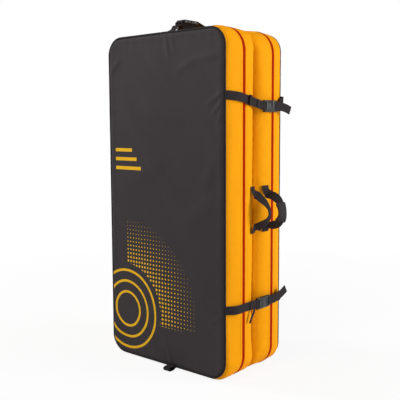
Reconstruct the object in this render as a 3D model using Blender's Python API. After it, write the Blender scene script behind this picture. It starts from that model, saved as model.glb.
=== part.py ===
"""Folding bouldering crash pad, closed like a case and standing on its short side.

Metres, +Z up. X runs across the pad, with the fold hinge at -X and the buckled edge at +X.
Y runs through the two layers, with the front face at -Y and the back face at +Y. Pieces are
placed from the middle of the fold, and the whole pad is centred over the origin at the end.
"""

import math

import bmesh
import bpy
from mathutils import Matrix, Vector

# Pad layers
PAD_HEIGHT = 1.0
PAD_WIDTH = 0.47
LAYER_THICKNESS = 0.132
FOLD_GAP = 0.006
CORNER_RADIUS = 0.055
SIDE_SWELL = 0.016
TOP_SWELL = 0.004
FOLD_SIDE_SWELL = 0.003
BASE_LIFT = 0.006
LANDING_EDGE_DROP = 0.010
LANDING_EDGE_DEPTH = 0.015
FACE_CROWN = 0.008
LANDING_CROWN = 0.002
CROWN_REACH = 0.13
COVER_THICKNESS = 0.0015
BINDING_RADIUS = 0.0035
ZIP_WIDTH = 0.011
LANDING_FOAM_THICKNESS = 0.020
BASE_FOAM_THICKNESS = 0.015
FIT_GAP = 0.0003
SWELL_POWER = 0.75
BASE_FLATNESS = 2.4
CORNER_STEPS = 6
SHARP_ANGLE = math.radians(40)

# Fold hinge
LEAF_THICKNESS = 0.002
LEAF_WIDTH = 0.050
LEAF_END_MARGIN = 0.065

# Zip slider and pull, on the top edge near the fold
SLIDER_LENGTH = 0.012
SLIDER_WIDTH = 0.008
SLIDER_HEIGHT = 0.003
SLIDER_FROM_FOLD = 0.075
LUG_HEIGHT = 0.004
LUG_THICKNESS = 0.0015
LUG_LENGTH = 0.005
PULL_LENGTH = 0.024
PULL_THICKNESS = 0.0016
PULL_PIVOT_HEIGHT = 0.0022
PULL_END = 0.0012

# Webbing and side-release buckles
WEBBING_WIDTH = 0.025
WEBBING_THICKNESS = 0.0018
WEBBING_SLACK = 0.002
BUCKLE_WIDTH = 0.034
BUCKLE_THICKNESS = 0.0094
HOUSING_LENGTH = 0.040
HOUSING_WALL = 0.0018
CAVITY_DEPTH = 0.028
WINDOW_LENGTH = 0.013
WINDOW_SETBACK = 0.008
BAR_DEPTH = 0.004
BAR_THICKNESS = 0.0044
SLOT_DEPTH = 0.0045
SLOT_SIDE_WALL = 0.004
TONGUE_BASE_LENGTH = 0.021
PRONG_LENGTH = 0.025
PRONG_WIDTH = 0.0048
PRONG_HOOK = 0.0016
PRONG_THICKNESS = 0.0046
TINE_WIDTH = 0.005
TINE_LENGTH = 0.019
SEWN_TURN = 0.030
ANCHOR_INSET = 0.012

# Each closure: where it crosses the pad, its sag, how much higher its front seam is than its rear one,
# the buckle's mouth along the strap and its lift, and how far the free tail's end is along the strap,
# out from the buckle and up
UPPER_CLOSURE_HEIGHT = 0.812
UPPER_CLOSURE_SAG = 0.027
UPPER_FRONT_RISE = 0.009
UPPER_MOUTH_ALONG = 0.052
UPPER_TAIL_ALONG = 0.131
UPPER_TAIL_OUT = 0.008
UPPER_TAIL_UP = -0.012
LOWER_CLOSURE_HEIGHT = 0.214
LOWER_CLOSURE_SAG = -0.002
LOWER_FRONT_RISE = 0.0
LOWER_MOUTH_ALONG = 0.022
LOWER_TAIL_ALONG = 0.119
LOWER_TAIL_OUT = 0.006
LOWER_TAIL_UP = 0.023
SIDE_BUCKLE_LIFT = 0.0245
TOP_CLOSURE_X = 0.030
TOP_CLOSURE_SAG = 0.002
TOP_FRONT_RISE = 0.0
TOP_MOUTH_ALONG = -0.047
TOP_TAIL_ALONG = 0.075
TOP_TAIL_OUT = -0.017
TOP_TAIL_UP = 0.0
TOP_BUCKLE_LIFT = 0.031

# Bottom grab loop
GRAB_LOOP_REACH = 0.022
GRAB_LOOP_HEIGHT = 0.013
GRAB_LOOP_SEWN_LENGTH = 0.022
GRAB_LOOP_CORNER = 0.003
GRAB_LOOP_TUCK = 0.004

# Carry handles
HANDLE_HEIGHT = 0.488
HANDLE_HALF_SPAN = 0.047
HANDLE_TAB_LENGTH = 0.024
HANDLE_STUB = 0.016
HANDLE_LAP = 0.004
HANDLE_POWER = 1.25
HANDLE_DROOP = 0.004
HANDLE_STEPS = 16
FRONT_HANDLE_Y = 0.021
FRONT_HANDLE_BOW = 0.053
FRONT_HANDLE_LEAN = math.radians(15)
REAR_HANDLE_Y = 0.035
REAR_HANDLE_BOW = 0.066
REAR_HANDLE_LEAN = math.radians(6)
GRIP_WIDTH = 0.034
GRIP_THICKNESS = 0.0075
GRIP_FROM_SHARE = 0.30
GRIP_TO_SHARE = 0.70
GRIP_STEPS = 8

# Harness on the back face
YOKE_HEIGHT = 0.800
YOKE_WIDTH = 0.190
YOKE_DEPTH = 0.060
PATCH_THICKNESS = 0.003
HAUL_LOOP_SPAN = 0.080
HAUL_LOOP_RISE = 0.030
HAUL_LOOP_ABOVE = 0.045
HAUL_TAB_LENGTH = 0.020
HAUL_STEPS = 8
SHOULDER_WIDTH = 0.065
SHOULDER_THICKNESS = 0.013
SHOULDER_TOP_X = 0.055
SHOULDER_END_X = 0.105
SHOULDER_END_HEIGHT = 0.455
LOCK_WIDTH = 0.032
LOCK_LENGTH = 0.022
LOCK_THICKNESS = 0.005
LOWER_ANCHOR_X = 0.150
LOWER_ANCHOR_HEIGHT = 0.270
WING_ROOT_X = 0.030
WING_LENGTH = 0.105
WING_ROOT_WIDTH = 0.085
WING_TIP_WIDTH = 0.040
WING_THICKNESS = 0.011
WING_HEIGHT = 0.190

TOTAL_THICKNESS = 2 * LAYER_THICKNESS + FOLD_GAP
TOP_Z = BASE_LIFT + PAD_HEIGHT
ZIP_DEPTH = LAYER_THICKNESS / 2
WALL_END = LAYER_THICKNESS - 2 * BINDING_RADIUS
BINDING_SEAT = BINDING_RADIUS + math.sqrt(
    (BINDING_RADIUS + FIT_GAP) ** 2 - (BINDING_RADIUS - COVER_THICKNESS) ** 2
)
BACK_Y = TOTAL_THICKNESS / 2 + FACE_CROWN
HINGE_X = -(PAD_WIDTH / 2 + FOLD_SIDE_SWELL + 2 * FIT_GAP + LEAF_THICKNESS)

# Depth levels of the walls, as shares of a layer's thickness from its landing face
INNER_WALL_SHARES = (0.0, 0.03, 0.07, 0.12, 0.28)
OUTER_WALL_SHARES = (0.70, 0.84, 0.91)

# Rings of a crowned face, as shares of the way from its edge to its flat middle
FACE_RING_SHARES = (0.0, 0.1, 0.3, 0.6, 1.0)

# A closure's webbing: along it from the seam, out towards the buckle (low where a slack run lies on the
# wall), and along its free tail
RUN_SHARES = ((0.25, 0.0), (0.5, 0.5), (0.75, 0.5))
LOW_RUN_SHARES = ((0.25, 0.0), (0.5, 0.0), (0.75, 0.45))
TAIL_SHARES = (0.0, 0.35, 0.7, 1.0)
HANG_POWER = 1.6
MITRE_LIMIT_SHARE = 0.5
PARALLEL_SHARE = 0.99

# Cross section of a flat padded strap, as shares of its half width and its thickness
PADDED_SHARES = ((-1, 0), (1, 0), (1, 0.4), (0.7, 0.85), (0, 1), (-0.7, 0.85), (-1, 0.4))

# Along a shoulder strap: length, bow from its top place to its end, width and thickness
SHOULDER_SHARES = (
    (0.0, 0.0, 0.8, 0.5), (0.2, 0.0, 1.0, 1.0), (0.4, 0.8, 1.0, 1.0),
    (0.6, 0.8, 1.0, 1.0), (0.85, 1.0, 0.85, 1.0), (1.0, 1.0, 0.45, 0.5),
)

# Along a belt wing: length and thickness
WING_SHARES = ((0.0, 0.5), (0.15, 1.0), (0.85, 1.0), (1.0, 0.5))


def material(name, colour, roughness, metallic=0.0):
    """A plain Principled material, made once for each name."""
    found = bpy.data.materials.get(name)
    if found:
        return found
    made = bpy.data.materials.new(name)
    made.use_nodes = True
    made.diffuse_color = (*colour, 1.0)
    shader = made.node_tree.nodes["Principled BSDF"]
    shader.inputs["Base Color"].default_value = (*colour, 1.0)
    shader.inputs["Roughness"].default_value = roughness
    shader.inputs["Metallic"].default_value = metallic
    return made


def dark_fabric():
    return material("dark_fabric", (0.055, 0.048, 0.050), 0.85)


def orange_fabric():
    return material("orange_fabric", (1.0, 0.38, 0.0), 0.8)


def red_zip_tape():
    return material("red_zip_tape", (0.45, 0.02, 0.0), 0.6)


def webbing():
    return material("webbing", (0.02, 0.019, 0.02), 0.75)


def buckle_plastic():
    return material("buckle_plastic", (0.03, 0.03, 0.032), 0.4)


def foam(name, shade):
    return material(name, shade, 0.95)


def slider_metal():
    return material("slider_metal", (0.12, 0.12, 0.12), 0.4, 1.0)


def add_object(name, mesh_data, skin, origin=Vector((0, 0, 0))):
    """Places a finished bmesh as one object, with its origin at the given point."""
    bmesh.ops.recalc_face_normals(mesh_data, faces=mesh_data.faces)
    bmesh.ops.translate(mesh_data, verts=mesh_data.verts, vec=-origin)
    mesh = bpy.data.meshes.new(name)
    mesh_data.to_mesh(mesh)
    mesh_data.free()
    mesh.materials.append(skin)
    mesh.set_sharp_from_angle(angle=SHARP_ANGLE)
    made = bpy.data.objects.new(name, mesh)
    made.location = origin
    bpy.context.scene.collection.objects.link(made)
    return made


def ring_of(mesh_data, points):
    """A closed loop of edges through the points."""
    corners = [mesh_data.verts.new(point) for point in points]
    return [mesh_data.edges.new((a, b)) for a, b in zip(corners, corners[1:] + corners[:1])]


def bridge_rings(mesh_data, rings):
    """Side faces between each ring of edges and the next."""
    for first, second in zip(rings, rings[1:]):
        bmesh.ops.bridge_loops(mesh_data, edges=first + second)


def cap_ring(mesh_data, ring):
    bmesh.ops.contextual_create(mesh_data, geom=ring)


def extrude_sections(sections):
    """One closed body swept through sections that all have the same number of points."""
    mesh_data = bmesh.new()
    face = mesh_data.faces.new([mesh_data.verts.new(point) for point in sections[0]])
    for section in sections[1:]:
        grown = bmesh.ops.extrude_face_region(mesh_data, geom=[face, *face.edges, *face.verts])
        face = next(item for item in grown["geom"] if isinstance(item, bmesh.types.BMFace))
        for corner, point in zip(face.verts, section):
            corner.co = point
    return mesh_data


def box_mesh(low, high):
    """A box between two corners."""
    low, high = Vector(low), Vector(high)
    mesh_data = bmesh.new()
    size = high - low
    grown = bmesh.ops.create_cube(mesh_data, size=1.0)
    bmesh.ops.scale(mesh_data, vec=size, verts=grown["verts"])
    bmesh.ops.translate(mesh_data, vec=(low + high) / 2, verts=grown["verts"])
    return mesh_data


def round_edges(mesh_data, width, along):
    """Rounds the edges of a mesh that run along one axis."""
    chosen = [
        edge for edge in mesh_data.edges
        if abs((edge.verts[0].co - edge.verts[1].co).normalized()[along]) > PARALLEL_SHARE
    ]
    bmesh.ops.bevel(
        mesh_data, geom=chosen, offset=width, offset_type="OFFSET",
        affect="EDGES", segments=2, profile=0.5, material=-1,
    )


def cutter(name, mesh_data):
    """A hidden helper that a Boolean takes away or adds."""
    helper = add_object(name, mesh_data, buckle_plastic())
    helper.hide_render = True
    helper.display_type = "WIRE"
    return helper


def combine(target, helper, operation):
    step = target.modifiers.new(helper.name, "BOOLEAN")
    step.operation = operation
    step.object = helper


def swell_at(depth):
    """Share of the full swell at a depth from the landing face, none at both edges."""
    across = 2 * depth / WALL_END - 1
    return max(0.0, 1 - across * across)


def edge_drop(depth):
    """How far the wall is drawn in near the landing face."""
    return LANDING_EDGE_DROP * max(0.0, 1 - depth / LANDING_EDGE_DEPTH) ** 2


def side_offset(depth, swell=SIDE_SWELL):
    """How far a free wall stands out from the pad's plain outline."""
    return swell * swell_at(depth) ** SWELL_POWER - edge_drop(depth)


def base_offset(depth):
    """The same for the underside, which is pressed flat by the floor."""
    return BASE_LIFT * min(1.0, BASE_FLATNESS * swell_at(depth)) - edge_drop(depth)


def outline(depth, inset=0.0):
    """(x, z) points round the wall at one depth, moved inwards by inset."""
    right = PAD_WIDTH / 2 + side_offset(depth) - inset
    left = -PAD_WIDTH / 2 - side_offset(depth, FOLD_SIDE_SWELL) + inset
    top = TOP_Z + side_offset(depth, TOP_SWELL) - inset
    bottom = BASE_LIFT - base_offset(depth) + inset
    radius = max(CORNER_RADIUS + side_offset(depth) - inset, 2 * BINDING_RADIUS)
    centres = (
        (right - radius, top - radius, 0.0),
        (left + radius, top - radius, 0.5 * math.pi),
        (left + radius, bottom + radius, math.pi),
        (right - radius, bottom + radius, 1.5 * math.pi),
    )
    points = []
    for x, z, start in centres:
        for step in range(CORNER_STEPS + 1):
            turn = start + 0.5 * math.pi * step / CORNER_STEPS
            points.append((x + radius * math.cos(turn), z + radius * math.sin(turn)))
    return points


def crown_at(inset, height):
    """Height of a crowned face at a distance in from its edge."""
    share = min(max(inset, 0.0) / CROWN_REACH, 1.0)
    return height * (1 - (1 - share) ** 2)


def ring_points(side, depth, inset=0.0, rise=0.0):
    """A wall outline as points, on the front layer (side -1) or the rear one (side 1).

    rise moves the ring out past its own depth, along the layer's thickness."""
    y = side * (FOLD_GAP / 2 + depth + rise)
    return [Vector((x, y, z)) for x, z in outline(depth, inset)]


def cover_inset(depths, index):
    """Room that the cover and its fit take at one level, measured square to the sloping wall."""
    slopes = []
    for a, b in zip(depths, depths[1:]):
        slopes.append(abs(side_offset(b) - side_offset(a)) / (b - a))
    near = slopes[max(index - 1, 0):index + 1]
    return COVER_THICKNESS * math.sqrt(1 + max(near) ** 2) + 2 * FIT_GAP


def inner_depths():
    levels = [share * LAYER_THICKNESS for share in INNER_WALL_SHARES]
    return levels + [ZIP_DEPTH - ZIP_WIDTH / 2 - FIT_GAP]


def outer_depths():
    levels = [share * LAYER_THICKNESS for share in OUTER_WALL_SHARES]
    first = ZIP_DEPTH + ZIP_WIDTH / 2 + FIT_GAP
    return [first] + levels + [LAYER_THICKNESS - BINDING_SEAT]


def wall_shell(name, side, depths, skin):
    """A fabric wall round the layer, between two depths."""
    mesh_data = bmesh.new()
    rings = [ring_of(mesh_data, ring_points(side, depth)) for depth in depths]
    bridge_rings(mesh_data, rings)
    made = add_object(name, mesh_data, skin)
    thicken(made, COVER_THICKNESS, Vector((0, 0, PAD_HEIGHT / 2)))
    return made


def thicken(made, thickness, centre):
    """Solidify towards the inside, whichever way the faces were wound."""
    outward = 0.0
    for face in made.data.polygons:
        outward += face.area * face.normal.dot(face.center - centre)
    step = made.modifiers.new("thickness", "SOLIDIFY")
    step.thickness = thickness
    step.offset = -1.0 if outward > 0 else 1.0
    step.use_even_offset = True


def face_rings(mesh_data, side, outer, first_inset, height, drop):
    """Rings of a crowned face, from its edge to its flat middle.

    outer is True for the outer face and False for the landing face."""
    depth = LAYER_THICKNESS if outer else 0.0
    way = 1 if outer else -1
    insets = [first_inset + (CROWN_REACH - first_inset) * share for share in FACE_RING_SHARES]
    rings = []
    for inset in insets:
        rise = way * (crown_at(inset - first_inset, height) - drop)
        rings.append(ring_of(mesh_data, ring_points(side, depth, inset, rise)))
    return rings


def face_panel(name, side, outer, skin):
    """The sheet over one face of a layer, crowned by the foam under it."""
    mesh_data = bmesh.new()
    edge = BINDING_SEAT if outer else COVER_THICKNESS + FIT_GAP
    rings = face_rings(mesh_data, side, outer, edge, FACE_CROWN if outer else LANDING_CROWN, 0.0)
    bridge_rings(mesh_data, rings)
    cap_ring(mesh_data, rings[-1])
    made = add_object(name, mesh_data, skin)
    thicken(made, COVER_THICKNESS, Vector((0, 0, PAD_HEIGHT / 2)))
    return made


def foam_block(name, side, rings_from, skin):
    """A closed foam block through rings made by a function that gets the empty mesh."""
    mesh_data = bmesh.new()
    rings = rings_from(mesh_data)
    bridge_rings(mesh_data, rings)
    cap_ring(mesh_data, rings[0])
    cap_ring(mesh_data, rings[-1])
    return add_object(name, mesh_data, skin)


def foam_ring(mesh_data, side, depth):
    """A foam outline inside the cover at one depth."""
    depths = inner_depths() + outer_depths()
    nearest = min(range(len(depths)), key=lambda index: abs(depths[index] - depth))
    return ring_of(mesh_data, ring_points(side, depth, cover_inset(depths, nearest)))


def landing_foam_rings(mesh_data, side):
    """Landing face, then the wall down to the joint with the core."""
    depths = [depth for depth in inner_depths()[1:] if depth < LANDING_FOAM_THICKNESS]
    edge = cover_inset(inner_depths(), 0) + COVER_THICKNESS
    under = COVER_THICKNESS + FIT_GAP
    face = face_rings(mesh_data, side, False, edge + LANDING_EDGE_DROP / 2, LANDING_CROWN, under)
    wall = [foam_ring(mesh_data, side, depth) for depth in depths[1:]]
    end = foam_ring(mesh_data, side, LANDING_FOAM_THICKNESS)
    return face[::-1] + wall + [end]


def core_rings(mesh_data, side):
    low = LANDING_FOAM_THICKNESS + FIT_GAP
    high = LAYER_THICKNESS - BASE_FOAM_THICKNESS - FIT_GAP
    between = [depth for depth in inner_depths() + outer_depths() if low < depth < high]
    return [foam_ring(mesh_data, side, depth) for depth in [low] + between + [high]]


def base_foam_rings(mesh_data, side):
    """From the joint with the core to a chamfer behind the binding and the outer face."""
    chamfer = (2 + math.sqrt(2)) * BINDING_RADIUS + 2 * FIT_GAP - COVER_THICKNESS
    low = LAYER_THICKNESS - BASE_FOAM_THICKNESS
    face = face_rings(
        mesh_data, side, True, chamfer + COVER_THICKNESS + FIT_GAP, FACE_CROWN,
        COVER_THICKNESS + 2 * FIT_GAP,
    )
    corner = LAYER_THICKNESS - chamfer
    inset = side_offset(corner) + COVER_THICKNESS + 2 * FIT_GAP
    wall = [foam_ring(mesh_data, side, low), ring_of(mesh_data, ring_points(side, corner, inset))]
    return wall + face


def binding(name, side):
    """Round tape over the seam between the outer face and its wall."""
    line = bpy.data.curves.new(name, "CURVE")
    line.dimensions = "3D"
    line.bevel_depth = BINDING_RADIUS
    line.bevel_resolution = 2
    points = ring_points(side, LAYER_THICKNESS, BINDING_RADIUS, -BINDING_RADIUS)
    spline = line.splines.new("POLY")
    spline.points.add(len(points) - 1)
    for knot, point in zip(spline.points, points):
        knot.co = (*point, 1.0)
    spline.use_cyclic_u = True
    line.materials.append(dark_fabric())
    made = bpy.data.objects.new(name, line)
    bpy.context.scene.collection.objects.link(made)
    return made


def zip_ring(name, side):
    depths = [ZIP_DEPTH - ZIP_WIDTH / 2, ZIP_DEPTH + ZIP_WIDTH / 2]
    return wall_shell(name, side, depths, red_zip_tape())


def zip_slider(name, side):
    """Slider body on the top of the zip, with two lugs that hold the pull."""
    x = -PAD_WIDTH / 2 + SLIDER_FROM_FOLD
    y = side * (FOLD_GAP / 2 + ZIP_DEPTH)
    z = TOP_Z + side_offset(ZIP_DEPTH - ZIP_WIDTH / 2, TOP_SWELL) + FIT_GAP
    origin = Vector((x, y, z))
    half = Vector((SLIDER_LENGTH / 2, SLIDER_WIDTH / 2, 0))
    made = add_object(
        name, box_mesh(origin - half, origin + half + Vector((0, 0, SLIDER_HEIGHT))),
        slider_metal(), origin,
    )
    for way in (-1, 1):
        outer = y + way * SLIDER_WIDTH / 2
        inner = outer - way * LUG_THICKNESS
        low = Vector((x - LUG_LENGTH / 2, min(outer, inner), z + SLIDER_HEIGHT / 2))
        high = Vector((x + LUG_LENGTH / 2, max(outer, inner), z + SLIDER_HEIGHT + LUG_HEIGHT))
        combine(made, cutter(f"{name}_lug_{way}", box_mesh(low, high)), "UNION")
    return made


def zip_pull(name, side):
    """Flat tab between the slider's lugs, lying towards the fold."""
    x = -PAD_WIDTH / 2 + SLIDER_FROM_FOLD
    y = side * (FOLD_GAP / 2 + ZIP_DEPTH)
    seat = TOP_Z + side_offset(ZIP_DEPTH - ZIP_WIDTH / 2, TOP_SWELL) + FIT_GAP
    z = seat + SLIDER_HEIGHT + PULL_PIVOT_HEIGHT
    half_width = SLIDER_WIDTH / 2 - LUG_THICKNESS - FIT_GAP
    low = (x - PULL_LENGTH, y - half_width, z - PULL_THICKNESS / 2)
    high = (x + PULL_END, y + half_width, z + PULL_THICKNESS / 2)
    return add_object(name, box_mesh(low, high), slider_metal(), Vector((x, y, z)))


def hinge_leaf(name, side):
    """Fabric strip on the fold side, from the wall to the fold line."""
    x = HINGE_X + FIT_GAP
    near = side * FIT_GAP
    far = side * (FOLD_GAP / 2 + LEAF_WIDTH)
    low = (x, min(near, far), BASE_LIFT + LEAF_END_MARGIN)
    high = (x + LEAF_THICKNESS, max(near, far), TOP_Z - LEAF_END_MARGIN)
    return add_object(name, box_mesh(low, high), orange_fabric(), Vector((HINGE_X, 0, 0)))


def layer(prefix, side):
    """One foam layer in its cover."""
    face_panel(f"{prefix}_face_panel", side, True, dark_fabric())
    binding(f"{prefix}_edge_binding", side)
    wall_shell(f"{prefix}_outer_gusset", side, outer_depths(), orange_fabric())
    zip_ring(f"{prefix}_zip", side)
    wall_shell(f"{prefix}_inner_gusset", side, inner_depths(), orange_fabric())
    face_panel(f"{prefix}_landing_panel", side, False, dark_fabric())
    foam_block(
        f"{prefix}_landing_foam", side, lambda mesh_data: landing_foam_rings(mesh_data, side),
        foam("firm_foam", (0.25, 0.25, 0.27)),
    )
    foam_block(
        f"{prefix}_foam_core", side, lambda mesh_data: core_rings(mesh_data, side),
        foam("soft_foam", (0.75, 0.72, 0.62)),
    )
    foam_block(
        f"{prefix}_base_foam", side, lambda mesh_data: base_foam_rings(mesh_data, side),
        foam("firm_foam", (0.25, 0.25, 0.27)),
    )
    zip_slider(f"{prefix}_zip_slider", side)
    zip_pull(f"{prefix}_zip_pull", side)
    hinge_leaf(f"{prefix}_hinge_leaf", side)


def ribbon(path, across, width, thickness):
    """A flat band through the points of path, its width along the direction across."""
    across = Vector(across).normalized()
    sections = []
    for index, point in enumerate(path):
        before = path[max(index - 1, 0)]
        after = path[min(index + 1, len(path) - 1)]
        tangent = (after - before).normalized()
        out = across.cross(tangent).normalized()
        half = across * width / 2
        lift = out * thickness / 2
        if 0 < index < len(path) - 1:
            bend = (after - point).angle(point - before, 0.0)
            lift = lift / max(math.cos(bend / 2), MITRE_LIMIT_SHARE)
        sections.append([point - half - lift, point + half - lift, point + half + lift, point - half + lift])
    return extrude_sections(sections)


def closure_frame(kind):
    """Local axes of a closure: X out from the wall, Y along the strap, Z across it."""
    if kind == "top":
        turn = Matrix.Rotation(math.radians(-90), 4, "Y")
        return Matrix.Translation((TOP_CLOSURE_X, 0, TOP_Z)) @ turn
    height = UPPER_CLOSURE_HEIGHT if kind == "upper" else LOWER_CLOSURE_HEIGHT
    return Matrix.Translation((PAD_WIDTH / 2, 0, height))


def closure_sizes(kind):
    """(sag, mouth place along the strap, lift from the wall)"""
    if kind == "top":
        return TOP_CLOSURE_SAG, TOP_MOUTH_ALONG, TOP_BUCKLE_LIFT
    if kind == "upper":
        return UPPER_CLOSURE_SAG, UPPER_MOUTH_ALONG, SIDE_BUCKLE_LIFT
    return LOWER_CLOSURE_SAG, LOWER_MOUTH_ALONG, SIDE_BUCKLE_LIFT


def tail_sizes(kind):
    """(place along the strap, out from the buckle, up) of a free tail's end"""
    if kind == "top":
        return TOP_TAIL_ALONG, TOP_TAIL_OUT, TOP_TAIL_UP
    if kind == "upper":
        return UPPER_TAIL_ALONG, UPPER_TAIL_OUT, UPPER_TAIL_UP
    return LOWER_TAIL_ALONG, LOWER_TAIL_OUT, LOWER_TAIL_UP


def strap_drop(along, sag):
    """How far the strap hangs below its ends, most at the crease."""
    share = along / (TOTAL_THICKNESS / 2)
    return sag * max(0.0, 1 - share * share)


def front_rise(kind):
    return {"top": TOP_FRONT_RISE, "upper": UPPER_FRONT_RISE, "lower": LOWER_FRONT_RISE}[kind]


def run_drop(kind, along, share, end_way):
    """Drop of a strap on its way to the buckle: the front run hangs late, the rear one with the sag."""
    sag, mouth, _ = closure_sizes(kind)
    if end_way > 0:
        return strap_drop(along, sag)
    start = strap_drop(TOTAL_THICKNESS / 2 - ANCHOR_INSET, sag) - front_rise(kind)
    return start + (strap_drop(mouth, sag) - start) * share ** HANG_POWER


def strap_path(kind, end_along, end_way):
    """Points from a seam at one face (end_way -1 front, 1 rear) to just before the buckle's bar."""
    sag, mouth, lift = closure_sizes(kind)
    shares = LOW_RUN_SHARES if kind == "top" and end_way > 0 else RUN_SHARES
    swell = TOP_SWELL if kind == "top" else SIDE_SWELL
    seam = end_way * (TOTAL_THICKNESS / 2 - ANCHOR_INSET)
    sewn = side_offset(LAYER_THICKNESS - ANCHOR_INSET, swell) + WEBBING_THICKNESS / 2 + 2 * FIT_GAP
    wall = swell + WEBBING_THICKNESS / 2 + WEBBING_SLACK
    under = lift - BAR_THICKNESS / 2 - FIT_GAP - WEBBING_THICKNESS / 2
    near = end_along + end_way * SEWN_TURN
    points = [Vector((sewn, seam, -run_drop(kind, seam, 0, end_way)))]
    for along_share, out_share in shares:
        along = seam + (near - seam) * along_share
        drop = run_drop(kind, along, along_share, end_way)
        points.append(Vector((wall + (under - wall) * out_share, along, -drop)))
    points.append(Vector((under, near, -strap_drop(mouth, sag))))
    return points


def turn_round_bar(bar_face, way, lift, drop):
    """Corner points of webbing that goes from under a bar to over it, past its face."""
    reach = FIT_GAP + WEBBING_THICKNESS / 2
    height = BAR_THICKNESS / 2 + reach
    turn = bar_face - way * reach
    return [
        Vector((lift - height, turn + way * reach / 2, -drop)),
        Vector((lift - height / 2, turn - way * reach / 4, -drop)),
        Vector((lift + height / 2, turn - way * reach / 4, -drop)),
        Vector((lift + height, turn + way * reach / 2, -drop)),
    ]


def front_bar_face(mouth):
    """Far side of the housing's bar, where its webbing turns."""
    return mouth - HOUSING_LENGTH + BAR_DEPTH


def rear_bar_face(mouth):
    """Far side of the tongue's bar, where its webbing turns."""
    return mouth + TONGUE_BASE_LENGTH - BAR_DEPTH


def front_webbing(name, kind):
    """Webbing from the front seam, round the housing's bar and sewn back on itself."""
    sag, mouth, lift = closure_sizes(kind)
    drop = strap_drop(mouth, sag)
    face = front_bar_face(mouth)
    path = strap_path(kind, face - BAR_DEPTH, -1)
    path += turn_round_bar(face, -1, lift, drop)
    height = lift + BAR_THICKNESS / 2 + FIT_GAP + WEBBING_THICKNESS / 2
    rest = lift - BAR_THICKNESS / 2 + FIT_GAP + WEBBING_THICKNESS / 2
    path.append(Vector((height, face - BAR_DEPTH, -drop)))
    path.append(Vector(((height + rest) / 2, face - 2 * BAR_DEPTH, -drop)))
    path.append(Vector((rest, face - BAR_DEPTH - SEWN_TURN / 2, -drop)))
    path.append(Vector((rest, face - BAR_DEPTH - SEWN_TURN, -drop)))
    return place_band(name, path, kind)


def rear_webbing(name, kind):
    """Webbing from the rear seam, round the tongue's bar, with its free tail lying back."""
    sag, mouth, lift = closure_sizes(kind)
    drop = strap_drop(mouth, sag)
    face = rear_bar_face(mouth)
    path = strap_path(kind, face + BAR_DEPTH, 1)
    path += turn_round_bar(face, 1, lift, drop)
    height = lift + BAR_THICKNESS / 2 + FIT_GAP + WEBBING_THICKNESS / 2
    path.append(Vector((height, face + BAR_DEPTH, -drop)))
    start = face + 2 * BAR_DEPTH
    end, out, up = tail_sizes(kind)
    for share in TAIL_SHARES:
        path.append(Vector((height + out * share, start + (end - start) * share, -drop + up * share * share)))
    return place_band(name, path, kind)


def place_band(name, path, kind):
    mesh_data = ribbon(path, (0, 0, 1), WEBBING_WIDTH, WEBBING_THICKNESS)
    bmesh.ops.transform(mesh_data, matrix=closure_frame(kind), verts=mesh_data.verts)
    return add_object(name, mesh_data, webbing())


def local_box(low, high, frame):
    mesh_data = box_mesh(low, high)
    bmesh.ops.transform(mesh_data, matrix=frame, verts=mesh_data.verts)
    return mesh_data


def housing(name, kind):
    """Buckle half with a hollow for the prongs, side windows and a webbing slot."""
    sag, mouth, lift = closure_sizes(kind)
    frame = closure_frame(kind)
    middle = -strap_drop(mouth, sag)
    half_wide = BUCKLE_WIDTH / 2
    half_thick = BUCKLE_THICKNESS / 2
    start = mouth - HOUSING_LENGTH
    over = BUCKLE_THICKNESS
    body = box_mesh(
        (lift - half_thick, start, middle - half_wide), (lift + half_thick, mouth, middle + half_wide),
    )
    round_edges(body, half_thick / 2, along=1)
    bmesh.ops.transform(body, matrix=frame, verts=body.verts)
    made = add_object(name, body, buckle_plastic(), frame @ Vector((lift, mouth, middle)))
    hollow_wide = half_wide - HOUSING_WALL
    hollow_thick = PRONG_THICKNESS / 2 + FIT_GAP
    hollow = local_box(
        (lift - hollow_thick, mouth - CAVITY_DEPTH, middle - hollow_wide),
        (lift + hollow_thick, mouth + over, middle + hollow_wide), frame,
    )
    combine(made, cutter(f"{name}_hollow", hollow), "DIFFERENCE")
    far = mouth - WINDOW_SETBACK
    windows = local_box(
        (lift - hollow_thick, far - WINDOW_LENGTH, middle - half_wide - over),
        (lift + hollow_thick, far, middle + half_wide + over), frame,
    )
    combine(made, cutter(f"{name}_windows", windows), "DIFFERENCE")
    slot_wide = half_wide - SLOT_SIDE_WALL
    slot = local_box(
        (lift - over, start + BAR_DEPTH, middle - slot_wide),
        (lift + over, start + BAR_DEPTH + SLOT_DEPTH, middle + slot_wide), frame,
    )
    combine(made, cutter(f"{name}_slot", slot), "DIFFERENCE")
    relief_height = half_thick - BAR_THICKNESS / 2
    for way in (-1, 1):
        low = lift + way * BAR_THICKNESS / 2
        high = low + way * 2 * relief_height
        relief = local_box(
            (min(low, high), start - over, middle - slot_wide),
            (max(low, high), start + BAR_DEPTH + SLOT_DEPTH / 2, middle + slot_wide), frame,
        )
        combine(made, cutter(f"{name}_relief_{way}", relief), "DIFFERENCE")
    return made


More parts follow.
